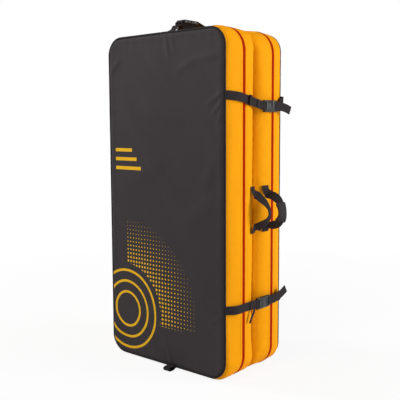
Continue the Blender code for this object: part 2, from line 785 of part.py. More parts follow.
def prong_outline(mouth, middle):
    """(along, across) points of the two hooked prongs and the middle tine, joined at the base."""
    outer = BUCKLE_WIDTH / 2 - HOUSING_WALL - FIT_GAP
    inner = outer - PRONG_WIDTH
    hook = PRONG_HOOK
    root = mouth + FIT_GAP
    tip = mouth - PRONG_LENGTH
    window = mouth - WINDOW_SETBACK - FIT_GAP
    tine = TINE_WIDTH / 2
    points = [
        (root + PRONG_WIDTH, outer - hook),
        (window - hook, outer - hook),
        (window - 2 * hook, outer),
        (window - 2 * hook - PRONG_WIDTH, outer),
        (tip, outer - 2 * hook),
        (tip, inner - hook),
        (root - PRONG_WIDTH, inner - hook),
        (root - PRONG_WIDTH / 2, inner - 2 * hook),
        (root - PRONG_WIDTH / 2, tine + hook),
        (mouth - TINE_LENGTH + hook, tine),
        (mouth - TINE_LENGTH, tine - hook),
    ]
    mirrored = [(along, -across) for along, across in reversed(points)]
    return [(along, middle + across) for along, across in points + mirrored]


def tongue(name, kind):
    """Buckle half with the prongs and a bar for its webbing."""
    sag, mouth, lift = closure_sizes(kind)
    frame = closure_frame(kind)
    middle = -strap_drop(mouth, sag)
    half_wide = BUCKLE_WIDTH / 2
    half_thick = BUCKLE_THICKNESS / 2
    start = mouth + FIT_GAP
    end = mouth + TONGUE_BASE_LENGTH
    over = BUCKLE_THICKNESS
    body = box_mesh(
        (lift - half_thick, start, middle - half_wide), (lift + half_thick, end, middle + half_wide),
    )
    round_edges(body, half_thick / 2, along=1)
    bmesh.ops.transform(body, matrix=frame, verts=body.verts)
    made = add_object(name, body, buckle_plastic(), frame @ Vector((lift, mouth, middle)))
    profile = prong_outline(mouth, middle)
    low = [frame @ Vector((lift - PRONG_THICKNESS / 2, along, across)) for along, across in profile]
    high = [frame @ Vector((lift + PRONG_THICKNESS / 2, along, across)) for along, across in profile]
    combine(made, cutter(f"{name}_prongs", extrude_sections([low, high])), "UNION")
    slot_wide = half_wide - SLOT_SIDE_WALL
    slot = local_box(
        (lift - over, end - BAR_DEPTH - SLOT_DEPTH, middle - slot_wide),
        (lift + over, end - BAR_DEPTH, middle + slot_wide), frame,
    )
    combine(made, cutter(f"{name}_slot", slot), "DIFFERENCE")
    relief_height = half_thick - BAR_THICKNESS / 2
    for way in (-1, 1):
        first = lift + way * BAR_THICKNESS / 2
        second = first + way * 2 * relief_height
        relief = local_box(
            (min(first, second), end - BAR_DEPTH - SLOT_DEPTH / 2, middle - slot_wide),
            (max(first, second), end + over, middle + slot_wide), frame,
        )
        combine(made, cutter(f"{name}_relief_{way}", relief), "DIFFERENCE")
    return made


def closure(kind):
    front_webbing(f"{kind}_closure_front_webbing", kind)
    housing(f"{kind}_closure_housing", kind)
    tongue(f"{kind}_closure_tongue", kind)
    rear_webbing(f"{kind}_closure_rear_webbing", kind)


def bottom_grab_loop():
    """A bight of webbing sewn to the foot of the front face, out over the floor and back under the edge."""
    half = WEBBING_THICKNESS / 2
    floor = half + FIT_GAP
    start = GRAB_LOOP_HEIGHT + GRAB_LOOP_SEWN_LENGTH
    seat = -TOTAL_THICKNESS / 2 - crown_at(start, FACE_CROWN) - half - FIT_GAP
    tip = seat - GRAB_LOOP_REACH
    corner = GRAB_LOOP_CORNER
    path = [
        Vector((TOP_CLOSURE_X, seat, start)),
        Vector((TOP_CLOSURE_X, seat, GRAB_LOOP_HEIGHT + corner)),
        Vector((TOP_CLOSURE_X, seat - corner, GRAB_LOOP_HEIGHT)),
        Vector((TOP_CLOSURE_X, tip + corner, GRAB_LOOP_HEIGHT - corner)),
        Vector((TOP_CLOSURE_X, tip, GRAB_LOOP_HEIGHT / 2)),
        Vector((TOP_CLOSURE_X, tip + corner, floor)),
        Vector((TOP_CLOSURE_X, seat - corner, floor)),
        Vector((TOP_CLOSURE_X, seat + GRAB_LOOP_TUCK, BASE_LIFT - half - FIT_GAP)),
        Vector((TOP_CLOSURE_X, -TOTAL_THICKNESS / 2 + 2 * BINDING_RADIUS, BASE_LIFT - half - FIT_GAP)),
    ]
    mesh_data = ribbon(path, (1, 0, 0), WEBBING_WIDTH, WEBBING_THICKNESS)
    return add_object("bottom_grab_loop", mesh_data, webbing())


def handle_frame(side):
    """Frame of a carry handle: X out from the wall, Y across the webbing, Z up, at its middle."""
    y = side * (FRONT_HANDLE_Y if side < 0 else REAR_HANDLE_Y)
    lean = -side * (FRONT_HANDLE_LEAN if side < 0 else REAR_HANDLE_LEAN)
    depth = abs(y) - FOLD_GAP / 2
    across = WEBBING_WIDTH / 2 * math.cos(lean)
    slope = WEBBING_WIDTH / 2 * math.sin(abs(lean))
    wall = max(side_offset(depth - across) + slope, side_offset(depth), side_offset(depth + across) - slope)
    out = wall + WEBBING_THICKNESS / 2 + FIT_GAP
    place = Matrix.Translation((PAD_WIDTH / 2 + out, y, HANDLE_HEIGHT))
    return place @ Matrix.Rotation(lean, 4, "Z")


def handle_tab(name, side, way):
    """Sewn end of a carry handle: flat on the wall, then turned out as a short stub."""
    end = way * HANDLE_HALF_SPAN
    path = [
        Vector((0, 0, end + way * HANDLE_TAB_LENGTH)),
        Vector((0, 0, end + way * WEBBING_THICKNESS)),
        Vector((WEBBING_THICKNESS, 0, end)),
        Vector((HANDLE_STUB, 0, end)),
    ]
    mesh_data = ribbon(path, (0, 1, 0), WEBBING_WIDTH, WEBBING_THICKNESS)
    bmesh.ops.transform(mesh_data, matrix=handle_frame(side), verts=mesh_data.verts)
    return add_object(name, mesh_data, webbing())


def handle_path(bow, from_share=0.0, to_share=1.0, steps=HANDLE_STEPS):
    """The loop of a carry handle, from its lower end to its upper one."""
    half = HANDLE_HALF_SPAN - WEBBING_THICKNESS - FIT_GAP
    points = []
    for step in range(steps + 1):
        turn = math.pi * (from_share + (to_share - from_share) * step / steps)
        out = HANDLE_STUB + (bow - HANDLE_STUB) * math.sin(turn) ** HANDLE_POWER
        points.append(Vector((out, 0, -half * math.cos(turn) - HANDLE_DROOP * math.sin(turn) ** 2)))
    if from_share == 0.0:
        points.insert(0, Vector((HANDLE_STUB - HANDLE_LAP, 0, -half)))
    if to_share == 1.0:
        points.append(Vector((HANDLE_STUB - HANDLE_LAP, 0, half)))
    return points


def handle_pivot(side):
    return handle_frame(side) @ Vector((HANDLE_STUB, 0, 0))


def handle_loop(name, side, bow):
    mesh_data = ribbon(handle_path(bow), (0, 1, 0), WEBBING_WIDTH, WEBBING_THICKNESS)
    bmesh.ops.transform(mesh_data, matrix=handle_frame(side), verts=mesh_data.verts)
    return add_object(name, mesh_data, webbing(), handle_pivot(side))


def handle_grip(name, side, bow):
    """Padded sleeve round the middle of a handle's webbing."""
    frame = handle_frame(side)
    path = handle_path(bow, GRIP_FROM_SHARE, GRIP_TO_SHARE, GRIP_STEPS)
    sleeve = ribbon(path, (0, 1, 0), GRIP_WIDTH, GRIP_THICKNESS)
    bmesh.ops.transform(sleeve, matrix=frame, verts=sleeve.verts)
    made = add_object(name, sleeve, dark_fabric(), handle_pivot(side))
    bore = ribbon(
        handle_path(bow), (0, 1, 0), WEBBING_WIDTH + 2 * FIT_GAP, WEBBING_THICKNESS + 2 * FIT_GAP
    )
    bmesh.ops.transform(bore, matrix=frame, verts=bore.verts)
    combine(made, cutter(f"{name}_bore", bore), "DIFFERENCE")
    return made


def carry_handle(prefix, side):
    bow = FRONT_HANDLE_BOW if side < 0 else REAR_HANDLE_BOW
    handle_tab(f"{prefix}_handle_top_tab", side, 1)
    handle_tab(f"{prefix}_handle_bottom_tab", side, -1)
    handle_loop(f"{prefix}_handle_webbing", side, bow)
    if side > 0:
        handle_grip(f"{prefix}_handle_grip", side, bow)


def yoke_patch():
    """Sewn patch that holds the tops of the shoulder straps."""
    half = Vector((YOKE_WIDTH / 2, 0, YOKE_DEPTH / 2))
    seat = Vector((0, BACK_Y + FIT_GAP, YOKE_HEIGHT))
    patch = box_mesh(seat - half, seat + half + Vector((0, PATCH_THICKNESS, 0)))
    round_edges(patch, PATCH_THICKNESS * 2, along=1)
    return add_object("yoke_patch", patch, dark_fabric())


def haul_loop():
    """Short webbing loop above the yoke, arched away from the back face."""
    z = YOKE_HEIGHT + HAUL_LOOP_ABOVE
    seat = BACK_Y + FIT_GAP + WEBBING_THICKNESS / 2
    half = HAUL_LOOP_SPAN / 2
    path = [Vector((-half - HAUL_TAB_LENGTH, seat, z)), Vector((-half, seat, z))]
    for step in range(1, HAUL_STEPS):
        turn = math.pi * step / HAUL_STEPS
        path.append(Vector((-half * math.cos(turn), seat + HAUL_LOOP_RISE * math.sin(turn), z)))
    path += [Vector((half, seat, z)), Vector((half + HAUL_TAB_LENGTH, seat, z))]
    return add_object("haul_loop", ribbon(path, (0, 0, 1), WEBBING_WIDTH, WEBBING_THICKNESS), webbing())


def padded_section(centre, across, half, thick):
    """Points of a flat padded section that lies on the back face."""
    out = Vector((0, thick, 0))
    return [centre + across * half * along_share + out * up_share for along_share, up_share in PADDED_SHARES]


def shoulder_strap(name, way):
    """Padded strap from under the yoke, bowed outwards, down to its ladder lock."""
    top = YOKE_HEIGHT - YOKE_DEPTH / 2 - FIT_GAP
    sections = []
    for share, bow_share, width_share, thick_share in SHOULDER_SHARES:
        x = SHOULDER_TOP_X + (SHOULDER_END_X - SHOULDER_TOP_X) * bow_share
        centre = Vector((way * x, BACK_Y + FIT_GAP, top + (SHOULDER_END_HEIGHT - top) * share))
        half = SHOULDER_WIDTH / 2 * width_share
        sections.append(padded_section(centre, Vector((1, 0, 0)), half, SHOULDER_THICKNESS * thick_share))
    return add_object(name, extrude_sections(sections), dark_fabric())


def ladder_lock(name, way):
    """Plastic adjuster at the end of a shoulder strap, with a slot for the lower webbing."""
    top = SHOULDER_END_HEIGHT - FIT_GAP
    x = way * SHOULDER_END_X
    seat = BACK_Y + FIT_GAP
    low = Vector((x - LOCK_WIDTH / 2, seat, top - LOCK_LENGTH))
    high = Vector((x + LOCK_WIDTH / 2, seat + LOCK_THICKNESS, top))
    made = add_object(name, box_mesh(low, high), buckle_plastic())
    slot = box_mesh(
        (x - WEBBING_WIDTH / 2 - 2 * FIT_GAP, seat - LOCK_THICKNESS, top - LOCK_LENGTH + BAR_DEPTH),
        (x + WEBBING_WIDTH / 2 + 2 * FIT_GAP, seat + 2 * LOCK_THICKNESS, top - BAR_DEPTH),
    )
    combine(made, cutter(f"{name}_slot", slot), "DIFFERENCE")
    return made


def lower_webbing(name, way):
    """Webbing from a ladder lock down to its anchor low on the back face."""
    seat = BACK_Y + FIT_GAP + WEBBING_THICKNESS / 2
    top = SHOULDER_END_HEIGHT - LOCK_LENGTH - 2 * FIT_GAP
    start = Vector((way * SHOULDER_END_X, seat, top))
    end = Vector((way * LOWER_ANCHOR_X, seat, LOWER_ANCHOR_HEIGHT))
    return add_object(name, ribbon([start, end], (1, 0, 0), WEBBING_WIDTH, WEBBING_THICKNESS), webbing())


def belt_pivot(way):
    """Seam of a belt wing on the back face."""
    return Vector((way * WING_ROOT_X, BACK_Y + FIT_GAP, WING_HEIGHT))


def belt_wing(name, way):
    """Padded half of the waist belt, folded flat outwards against the back face."""
    root = belt_pivot(way)
    sections = []
    for share, thick_share in WING_SHARES:
        centre = root + Vector((way * WING_LENGTH * share, 0, 0))
        half = (WING_ROOT_WIDTH + (WING_TIP_WIDTH - WING_ROOT_WIDTH) * share) / 2
        sections.append(padded_section(centre, Vector((0, 0, 1)), half, WING_THICKNESS * thick_share))
    return add_object(name, extrude_sections(sections), dark_fabric(), root)


def belt_buckle_body(name, way, length):
    """Rounded block at the tip of a belt wing, and its far end."""
    start = WING_ROOT_X + WING_LENGTH + FIT_GAP
    end = start + length
    seat = BACK_Y + FIT_GAP
    low = Vector((min(way * start, way * end), seat, WING_HEIGHT - BUCKLE_WIDTH / 2))
    high = Vector((max(way * start, way * end), seat + BUCKLE_THICKNESS, WING_HEIGHT + BUCKLE_WIDTH / 2))
    body = box_mesh(low, high)
    round_edges(body, BUCKLE_THICKNESS / 4, along=0)
    return add_object(name, body, buckle_plastic(), belt_pivot(way)), way * end


def belt_housing(name):
    made, end = belt_buckle_body(name, 1, HOUSING_LENGTH)
    middle = BACK_Y + FIT_GAP + BUCKLE_THICKNESS / 2
    half_wide = BUCKLE_WIDTH / 2 - HOUSING_WALL
    hollow = box_mesh(
        (end - CAVITY_DEPTH, middle - PRONG_THICKNESS / 2 - FIT_GAP, WING_HEIGHT - half_wide),
        (end + BUCKLE_THICKNESS, middle + PRONG_THICKNESS / 2 + FIT_GAP, WING_HEIGHT + half_wide),
    )
    combine(made, cutter(f"{name}_hollow", hollow), "DIFFERENCE")
    return made


def belt_tongue(name):
    made, end = belt_buckle_body(name, -1, TONGUE_BASE_LENGTH)
    middle = BACK_Y + FIT_GAP + BUCKLE_THICKNESS / 2
    profile = prong_outline(end, WING_HEIGHT)
    low = [Vector((along, middle - PRONG_THICKNESS / 2, z)) for along, z in profile]
    high = [Vector((along, middle + PRONG_THICKNESS / 2, z)) for along, z in profile]
    combine(made, cutter(f"{name}_prongs", extrude_sections([low, high])), "UNION")
    return made


def harness():
    yoke_patch()
    haul_loop()
    for word, way in (("left", -1), ("right", 1)):
        shoulder_strap(f"{word}_shoulder_strap", way)
        ladder_lock(f"{word}_ladder_lock", way)
        lower_webbing(f"{word}_lower_webbing", way)
        belt_wing(f"{word}_belt_wing", way)
    belt_tongue("belt_tongue")
    belt_housing("belt_housing")


def clear_scene():
    for old in list(bpy.data.objects):
        bpy.data.objects.remove(old)


def centre_on_origin():
    """Moves everything so that the middle of the pad's footprint is at the origin."""
    bpy.context.view_layer.update()
    shapes = bpy.context.evaluated_depsgraph_get()
    corners = []
    for made in bpy.data.objects:
        if not made.hide_render:
            shape = made.evaluated_get(shapes)
            corners += [shape.matrix_world @ corner.co for corner in shape.to_mesh().vertices]
            shape.to_mesh_clear()
    x = (min(corner.x for corner in corners) + max(corner.x for corner in corners)) / 2
    y = (min(corner.y for corner in corners) + max(corner.y for corner in corners)) / 2
    for made in bpy.data.objects:
        made.location -= Vector((x, y, 0))


def main():
    clear_scene()
    layer("front", -1)
    layer("rear", 1)
    for kind in ("upper", "lower", "top"):
        closure(kind)
    bottom_grab_loop()
    carry_handle("front", -1)
    carry_handle("rear", 1)
    harness()
    centre_on_origin()


main()
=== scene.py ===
"""Dresses the bouldering crash pad: covers, zips, straps, buckles, handles and harness, on a pale stage.

Metres, +Z up. X runs across the pad, with the fold hinge at -X and the buckled edge at +X. Y runs through
the two layers, with the front face at -Y.
"""

import math

import bmesh
import bpy
from bpy.props import FloatProperty, FloatVectorProperty, IntProperty, PointerProperty
from mathutils import Matrix, Vector, noise
from mathutils.geometry import interpolate_bezier
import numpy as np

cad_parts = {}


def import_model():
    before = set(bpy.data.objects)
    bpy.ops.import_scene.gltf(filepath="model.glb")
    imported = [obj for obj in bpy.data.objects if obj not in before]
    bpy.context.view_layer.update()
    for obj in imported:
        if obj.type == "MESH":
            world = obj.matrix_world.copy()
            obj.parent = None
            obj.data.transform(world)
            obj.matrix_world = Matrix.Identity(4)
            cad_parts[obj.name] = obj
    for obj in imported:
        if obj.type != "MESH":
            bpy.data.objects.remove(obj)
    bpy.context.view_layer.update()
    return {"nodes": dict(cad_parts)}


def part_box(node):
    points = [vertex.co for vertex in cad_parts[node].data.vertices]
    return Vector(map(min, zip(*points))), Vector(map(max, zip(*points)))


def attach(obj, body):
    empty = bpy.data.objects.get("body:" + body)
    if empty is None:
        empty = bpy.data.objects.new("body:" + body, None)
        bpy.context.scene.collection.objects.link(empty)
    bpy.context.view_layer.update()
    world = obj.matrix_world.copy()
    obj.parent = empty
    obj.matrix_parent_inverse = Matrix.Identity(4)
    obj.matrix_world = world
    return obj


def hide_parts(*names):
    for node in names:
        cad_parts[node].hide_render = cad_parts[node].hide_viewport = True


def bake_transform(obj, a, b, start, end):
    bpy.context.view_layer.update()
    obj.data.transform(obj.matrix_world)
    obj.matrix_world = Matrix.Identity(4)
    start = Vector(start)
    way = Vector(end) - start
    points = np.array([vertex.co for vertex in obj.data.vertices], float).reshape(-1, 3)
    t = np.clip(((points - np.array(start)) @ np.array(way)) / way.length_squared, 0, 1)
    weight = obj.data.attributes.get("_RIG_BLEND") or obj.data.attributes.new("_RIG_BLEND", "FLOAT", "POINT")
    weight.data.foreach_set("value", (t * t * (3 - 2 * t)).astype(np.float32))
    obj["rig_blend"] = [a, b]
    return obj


bl_info = {
    "name": "Bouldering crash pad",
    "version": (1, 0, 0),
    "blender": (4, 5, 0),
    "location": "3D View > Sidebar > Crash pad",
    "description": "Builds the covers, straps, buckles and harness of a folding crash pad",
    "category": "Object",
}

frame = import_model()

# The pad's own sizes, as in the solids
PAD_HEIGHT = 1.0
PAD_WIDTH = 0.47
LAYER_THICKNESS = 0.132
FOLD_GAP = 0.006
CORNER_RADIUS = 0.055
SIDE_SWELL = 0.016
TOP_SWELL = 0.004
FOLD_SIDE_SWELL = 0.003
BASE_LIFT = 0.006
BASE_FLATNESS = 9.0
LANDING_DROP = 0.010
LANDING_DEPTH = 0.015
FACE_CROWN = 0.008
LANDING_CROWN = 0.002
CROWN_REACH = 0.13
BINDING_RADIUS = 0.0035
WALL_END = LAYER_THICKNESS - 2 * BINDING_RADIUS
ZIP_DEPTH = LAYER_THICKNESS / 2
ZIP_HALF = 0.0055
TOP_Z = BASE_LIFT + PAD_HEIGHT
WEBBING_WIDTH = 0.025
WEBBING_THICKNESS = 0.0018

MIDDLE_X = sum(corner.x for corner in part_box("front_edge_binding")) / 2
FOLD_Y = (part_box("front_zip")[0].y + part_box("rear_zip")[1].y) / 2
BACK_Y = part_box("rear_face_panel")[1].y

# Depth of each ring of a cover's wall, from the landing face to the binding; the rings that the zip sinks
# between, and the two lips beside it
WALL_DEPTHS = (
    0.0, 0.004, 0.0092, 0.0158, 0.025, 0.036, 0.046, 0.0545, 0.0592, 0.0612, 0.066, 0.0708, 0.0728,
    0.0775, 0.086, 0.0955, 0.105, 0.113, 0.1201, 0.1253, 0.1287,
)
ZIP_RINGS = (0.0612, 0.066, 0.0708)
LIP_RINGS = (0.0592, 0.0728)

# Sewn and buckled webbing, as in the solids
FIT_GAP = 0.0003
ANCHOR_INSET = 0.012
WEBBING_SLACK = 0.002
SEWN_TURN = 0.030
HANG_POWER = 1.25
BAR_DEPTH = 0.004
BAR_THICKNESS = 0.0044
HOUSING_LENGTH = 0.040
TONGUE_BASE_LENGTH = 0.021
HALF_DEPTH = FOLD_GAP / 2 + LAYER_THICKNESS
KEEPER_ALONG = -0.052

# Shares of the way from a strap's seam to its buckle, along and out: as a rule, and for the top's rear run
RUN_SHARES = ((0.25, 0.0), (0.5, 0.5), (0.75, 0.5))
LOW_RUN_SHARES = ((0.25, 0.0), (0.5, 0.0), (0.75, 0.25))
TAIL_SHARES = (0.0, 0.35, 0.7, 1.0)

# Each closure: its place across the pad, sag, rise of the front seam, buckle's mouth along the strap, lift
# off the wall, and the free tail's end along the strap, out and up
CLOSURES = {
    "upper": (0.812, 0.027, 0.009, 0.052, 0.0245, (0.131, 0.008, -0.012)),
    "lower": (0.214, -0.002, 0.0, 0.022, 0.0245, (0.119, 0.006, 0.023)),
    "top": (0.030, 0.002, 0.0, -0.047, 0.031, (0.075, -0.017, 0.0)),
}

# Seat of each carry handle on the wall, its lean, how far its loop stands out, and the roundness of the loop
HANDLES = {
    "front": ((0.20525, -0.02704, 0.488), math.radians(15), 0.053, 2.1),
    "rear": ((0.20951, 0.02896, 0.488), math.radians(-6), 0.066, 1.0),
}
HANDLE_HALF_SPAN = 0.047
HANDLE_TAB = 0.024
HANDLE_STUB = 0.016
HANDLE_DROOP = 0.004
HANDLE_WIDTH = 0.028
HANDLE_TILT = {"bottom": math.radians(-58), "top": math.radians(42)}

# Turn of a loop's webbing about its own run, from its lower end to its upper one
LOOP_TILTS = (
    (0, HANDLE_TILT["bottom"]), (0.08, HANDLE_TILT["bottom"]),
    (0.92, HANDLE_TILT["top"]), (1, HANDLE_TILT["top"]),
)
GRIP_FROM, GRIP_TO = 0.30, 0.70

# Harness on the back face
BACK_SEAT = BACK_Y + FIT_GAP
SHOULDER_X = 0.055
SHOULDER_BOW = 0.050
SHOULDER_WIDTH = 0.065
SHOULDER_THICKNESS = 0.0128
LOCK_X = 0.105
ANCHOR_X = 0.150
BELT_ROOT_X = 0.030
BELT_LENGTH = 0.105
BELT_WIDE, BELT_NARROW = 0.085, 0.040
BELT_THICKNESS = 0.0108
HAUL_SEAM = 0.043
HAUL_HALF = 0.040
HAUL_RISE = 0.030

# How near a seam a cover's point is held, and how the soft folds and puckers of the cloth lie
HELD_LOW = 0.004
HELD_BY_ZIP = 0.0085
HELD_ROOM = 0.02
CLOTH_MOMENTS = 20
ZIP_CLEAR = 0.008
SEAM_REACH = 0.012
PUCKER_REACH = 0.035
FACE_PUCKERS = 165
WALL_PUCKERS = 210

# Print on the front face: rings and dots about one centre, and three bars
RING_RADII = (0.055, 0.090, 0.125)
RING_HALF = 0.0042
RING_X, RING_Z = 0.075, 0.155
DOT_PITCH = 0.0125
BAR_HALF = 0.0055
BAR_PITCH = 0.028
INK_EDGE = 0.0006

# Sewing thread on the cloth, and the relief of the weave
STITCH_LENGTH = 0.0042
STITCH_WIDTH = 0.0006
WEAVE_RELIEF = 0.00025
FLOOR_GAP = 0.0003

# Each lamp's place, its target and its size; then the camera, fitted to the photo's outline
LAMPS = {
    "key": ((2.6, 1.1, 1.25), (0.15, 0, 0.5), (1.2, 1.6)),
    "fill": ((0.25, -1.05, 1.85), (0, -0.14, 0.75), (0.7, 0.5)),
    "rake": ((-3.2, -1.3, 2.6), (0, -0.14, 0.5), (0.8, 0.8)),
}
CAMERA_PLACE = (1.365, -1.6056, 0.7327)
CAMERA_AZIMUTH = math.radians(40.745)
CAMERA_ELEVATION = math.radians(6.183)
CAMERA_ROLL = math.radians(-0.249)
WHITE = (1, 1, 1, 1)

# Points across a webbing's face, across a soft pad, and along a handle's loop
BAND_STEPS = 6
PAD_STEPS = 10
LOOP_STEPS = 22

# Folds that the closures pull in the front face: from, to (x, z), width and depth
FRONT_FOLDS = (
    ((0.195, 0.828), (0.135, 0.796), 0.007, 0.0022), ((0.193, 0.806), (0.150, 0.764), 0.006, 0.0018),
    ((0.190, 0.790), (0.168, 0.735), 0.006, 0.0012), ((-0.029, 1.000), (-0.012, 0.925), 0.007, 0.0020),
    ((-0.004, 1.000), (0.006, 0.945), 0.006, 0.0014), ((0.020, 0.888), (0.085, 0.918), 0.012, 0.0018),
    ((0.085, 0.918), (0.178, 0.927), 0.012, 0.0020), ((0.194, 0.222), (0.140, 0.238), 0.007, 0.0016),
    ((0.192, 0.204), (0.150, 0.176), 0.006, 0.0014), ((-0.010, 0.012), (-0.034, 0.075), 0.007, 0.0014),
    ((-0.262, 0.900), (-0.225, 0.935), 0.010, 0.0018), ((-0.265, 0.090), (-0.225, 0.062), 0.010, 0.0018),
    ((-0.200, 0.560), (-0.060, 0.610), 0.030, 0.0022), ((0.050, 0.440), (0.150, 0.520), 0.032, 0.0024),
    ((-0.120, 0.800), (0.020, 0.740), 0.034, 0.0024), ((0.160, 0.640), (0.120, 0.560), 0.018, 0.0016),
)


# ---------------------------------------------------------------- settings


def colour_setting(name, description, default):
    return FloatVectorProperty(name=name, description=description, subtype="COLOR", size=3, default=default)


def length_setting(name, description, default):
    return FloatProperty(name=name, description=description, default=default, unit="LENGTH", precision=4)


def power_setting(name, description, default):
    return FloatProperty(name=name, description=description, default=default, unit="POWER")


class CoverSettings(bpy.types.PropertyGroup):
    columns: IntProperty(name="Columns", description="Faces across a cover", default=56, min=8)
    rows: IntProperty(name="Rows", description="Faces up a cover", default=118, min=8)
    pressure: FloatProperty(name="Pressure", description="How hard the foam fills the cover", default=3.0)
    puff: length_setting("Puff", "Most that a panel swells", 0.003)
    slack: length_setting("Slack", "Depth of the loose folds", 0.0045)
    face_colour: colour_setting("Face", "Outer face fabric", (0.049, 0.0410, 0.0430))
    wall_colour: colour_setting("Wall", "Wall fabric", (0.97, 0.345, 0.001))
    landing_colour: colour_setting("Landing", "Landing face fabric", (0.040, 0.036, 0.038))
    print_colour: colour_setting("Print", "Ink on the front face", (0.98, 0.52, 0.008))
    thread: length_setting("Weave", "Distance between the threads of the cloth", 0.0017)


class ZipSettings(bpy.types.PropertyGroup):
    tape_colour: colour_setting("Tape", "Zip tape", (0.47, 0.0135, 0.0))
    coil_pitch: length_setting("Coil pitch", "Distance between the coil's turns", 0.0026)
    metal_colour: colour_setting("Metal", "Slider and pull", (0.13, 0.13, 0.13))


class StrapSettings(bpy.types.PropertyGroup):
    colour: colour_setting("Webbing", "Webbing", (0.0230, 0.0180, 0.0195))
    rib: length_setting("Rib", "Distance between the webbing's ribs", 0.0016)
    step: length_setting("Step", "Length of a strap's faces", 0.003)


class HardwareSettings(bpy.types.PropertyGroup):
    plastic_colour: colour_setting("Plastic", "Buckles", (0.011, 0.011, 0.0125))
    edge: length_setting("Edge", "Rounding of the buckles' edges", 0.0005)


class HarnessSettings(bpy.types.PropertyGroup):
    pad_colour: colour_setting("Padding", "Shoulder straps and belt", (0.045, 0.040, 0.042))
    edge_radius: length_setting("Edge tape", "Thickness of the tape round the padding", 0.0018)


class StageSettings(bpy.types.PropertyGroup):
    floor_white: FloatProperty(
        name="Floor white", description="Share of plain white that the camera sees in the floor by the pad",
        default=0.89, min=0, max=1, subtype="FACTOR",
    )
    fade_from: length_setting("Fade from", "Where the floor starts to fade to white", 0.5)
    fade_to: length_setting("Fade to", "Where the floor is plain white", 2.2)
    key: power_setting("Key", "Power of the lamp on the buckled edge", 67.0)
    fill: power_setting("Fill", "Power of the lamp over the front face", 10.0)
    rake: power_setting("Rake", "Power of the low side lamp that shows the folds", 85.0)
    sky: FloatProperty(name="Sky", description="Light from all round", default=0.20)
    lens: FloatProperty(name="Lens", description="Focal length in millimetres", default=61.43)


# ---------------------------------------------------------------- materials


class Signal:
    """The output of a node, which can stand in a sum and be used in any other node."""

    def __init__(self, finish, socket):
        self.finish = finish
        self.socket = socket

    def maths(self, operation, first, second):
        return self.finish.node("Math", {"operation": operation}, {0: first, 1: second})

    def __add__(self, other):
        return self.maths("ADD", self, other)

    def __sub__(self, other):
        return self.maths("SUBTRACT", self, other)

    def __mul__(self, other):
        return self.maths("MULTIPLY", self, other)

    def __truediv__(self, other):
        return self.maths("DIVIDE", self, other)

    def __gt__(self, other):
        return self.maths("GREATER_THAN", self, other)

    def __lt__(self, other):
        return self.maths("LESS_THAN", self, other)

    def of(self, operation, second=0.0):
        """Any Math operation on this signal, such as SINE, FRACT or ABSOLUTE."""
        return self.maths(operation, self, second)

    def ramp(self, low, high, first=0.0, last=1.0):
        """Goes from first to last while the signal goes from low to high."""
        values = {"Value": self, "From Min": low, "From Max": high, "To Min": first, "To Max": last}
        return self.finish.node("MapRange", {"clamp": True}, values)


class Finish:
    """One material and the nodes in it."""

    def __init__(self, name, roughness, **constants):
        self.material = bpy.data.materials.new(name)
        self.material.use_nodes = True
        self.tree = self.material.node_tree
        self.shader = self.tree.nodes["Principled BSDF"]
        self.shader.inputs["Roughness"].default_value = roughness
        for word, value in constants.items():
            self.shader.inputs[word.replace("_", " ")].default_value = value

    def node(self, kind, settings=None, values=None, out=0):
        """Makes a node: its settings first, then the values or links of its sockets."""
        made = self.tree.nodes.new(f"ShaderNode{kind}")
        for word, value in (settings or {}).items():
            setattr(made, word, value)
        for socket, value in (values or {}).items():
            self.feed(made.inputs[socket], value)
        return Signal(self, made.outputs[out])

    def feed(self, socket, value):
        if isinstance(value, Signal):
            self.tree.links.new(value.socket, socket)
        else:
            socket.default_value = value

    def set(self, **varying):
        for word, value in varying.items():
            self.feed(self.shader.inputs[word.replace("_", " ")], value)
        return self.material

    def parts(self, coords):
        """The three numbers of a place, each as a signal."""
        split = self.node("SeparateXYZ", values={0: coords})
        return [Signal(self, socket) for socket in split.socket.node.outputs]

    def place(self):
        """(x, y, z) of the point on the object."""
        return self.parts(self.node("TexCoord", out="Object"))

    def cloth(self):
        """(across, along) of the piece's own map, in metres."""
        return self.parts(self.node("UVMap", {"uv_map": "cloth"}))[:2]

    def clouds(self, scale, detail=3.0, roughness=0.5):
        """Soft noise from 0 to 1 over the object."""
        coords = self.node("TexCoord", out="Object")
        values = {"Vector": coords, "Scale": scale, "Detail": detail, "Roughness": roughness}
        return self.node("TexNoise", values=values)

    def mix(self, share, first, second):
        """A colour between two, by a share."""
        colours = {0: share, 6: opaque(first), 7: opaque(second)}
        return self.node("Mix", {"data_type": "RGBA"}, colours, out=2)

    def tint(self, share, colour, low, high):
        """One colour, from its darker tone to its lighter one, by a share."""
        return self.mix(share, shade(colour, low), shade(colour, high))

    def bump(self, height, distance):
        return self.node("Bump", values={"Strength": 1.0, "Distance": distance, "Height": height})


def opaque(colour):
    """A plain colour with its alpha; a signal stays as it is."""
    return colour if isinstance(colour, Signal) else (*colour, 1.0)


def shade(colour, factor):
    return tuple(min(part * factor, 1.0) for part in colour)


def made_once(maker):
    """The material that a function makes, named after it and made the first time it is asked for."""
    return bpy.data.materials.get(maker.__name__) or maker(maker.__name__)


def ridges(line, pitch):
    """Even ribs along a line, from 0 to 1."""
    return (line * (2 * math.pi / pitch)).of("SINE") * 0.5 + 0.5


def weave_height(across, along, pitch):
    """Over and under threads of a plain weave, from 0 to 1."""
    turn = 2 * math.pi / pitch
    return (across * turn).of("SINE") * (along * turn).of("SINE") * 0.5 + 0.5


def stitch_mask(line, along, place):
    """1 on the threads of a stitched line at one place across the cloth."""
    near = (line - place).of("ABSOLUTE").ramp(STITCH_WIDTH, STITCH_WIDTH * 0.6)
    dash = (along / STITCH_LENGTH).of("FRACT")
    return near * (dash - 0.42).of("ABSOLUTE").ramp(0.40, 0.34)


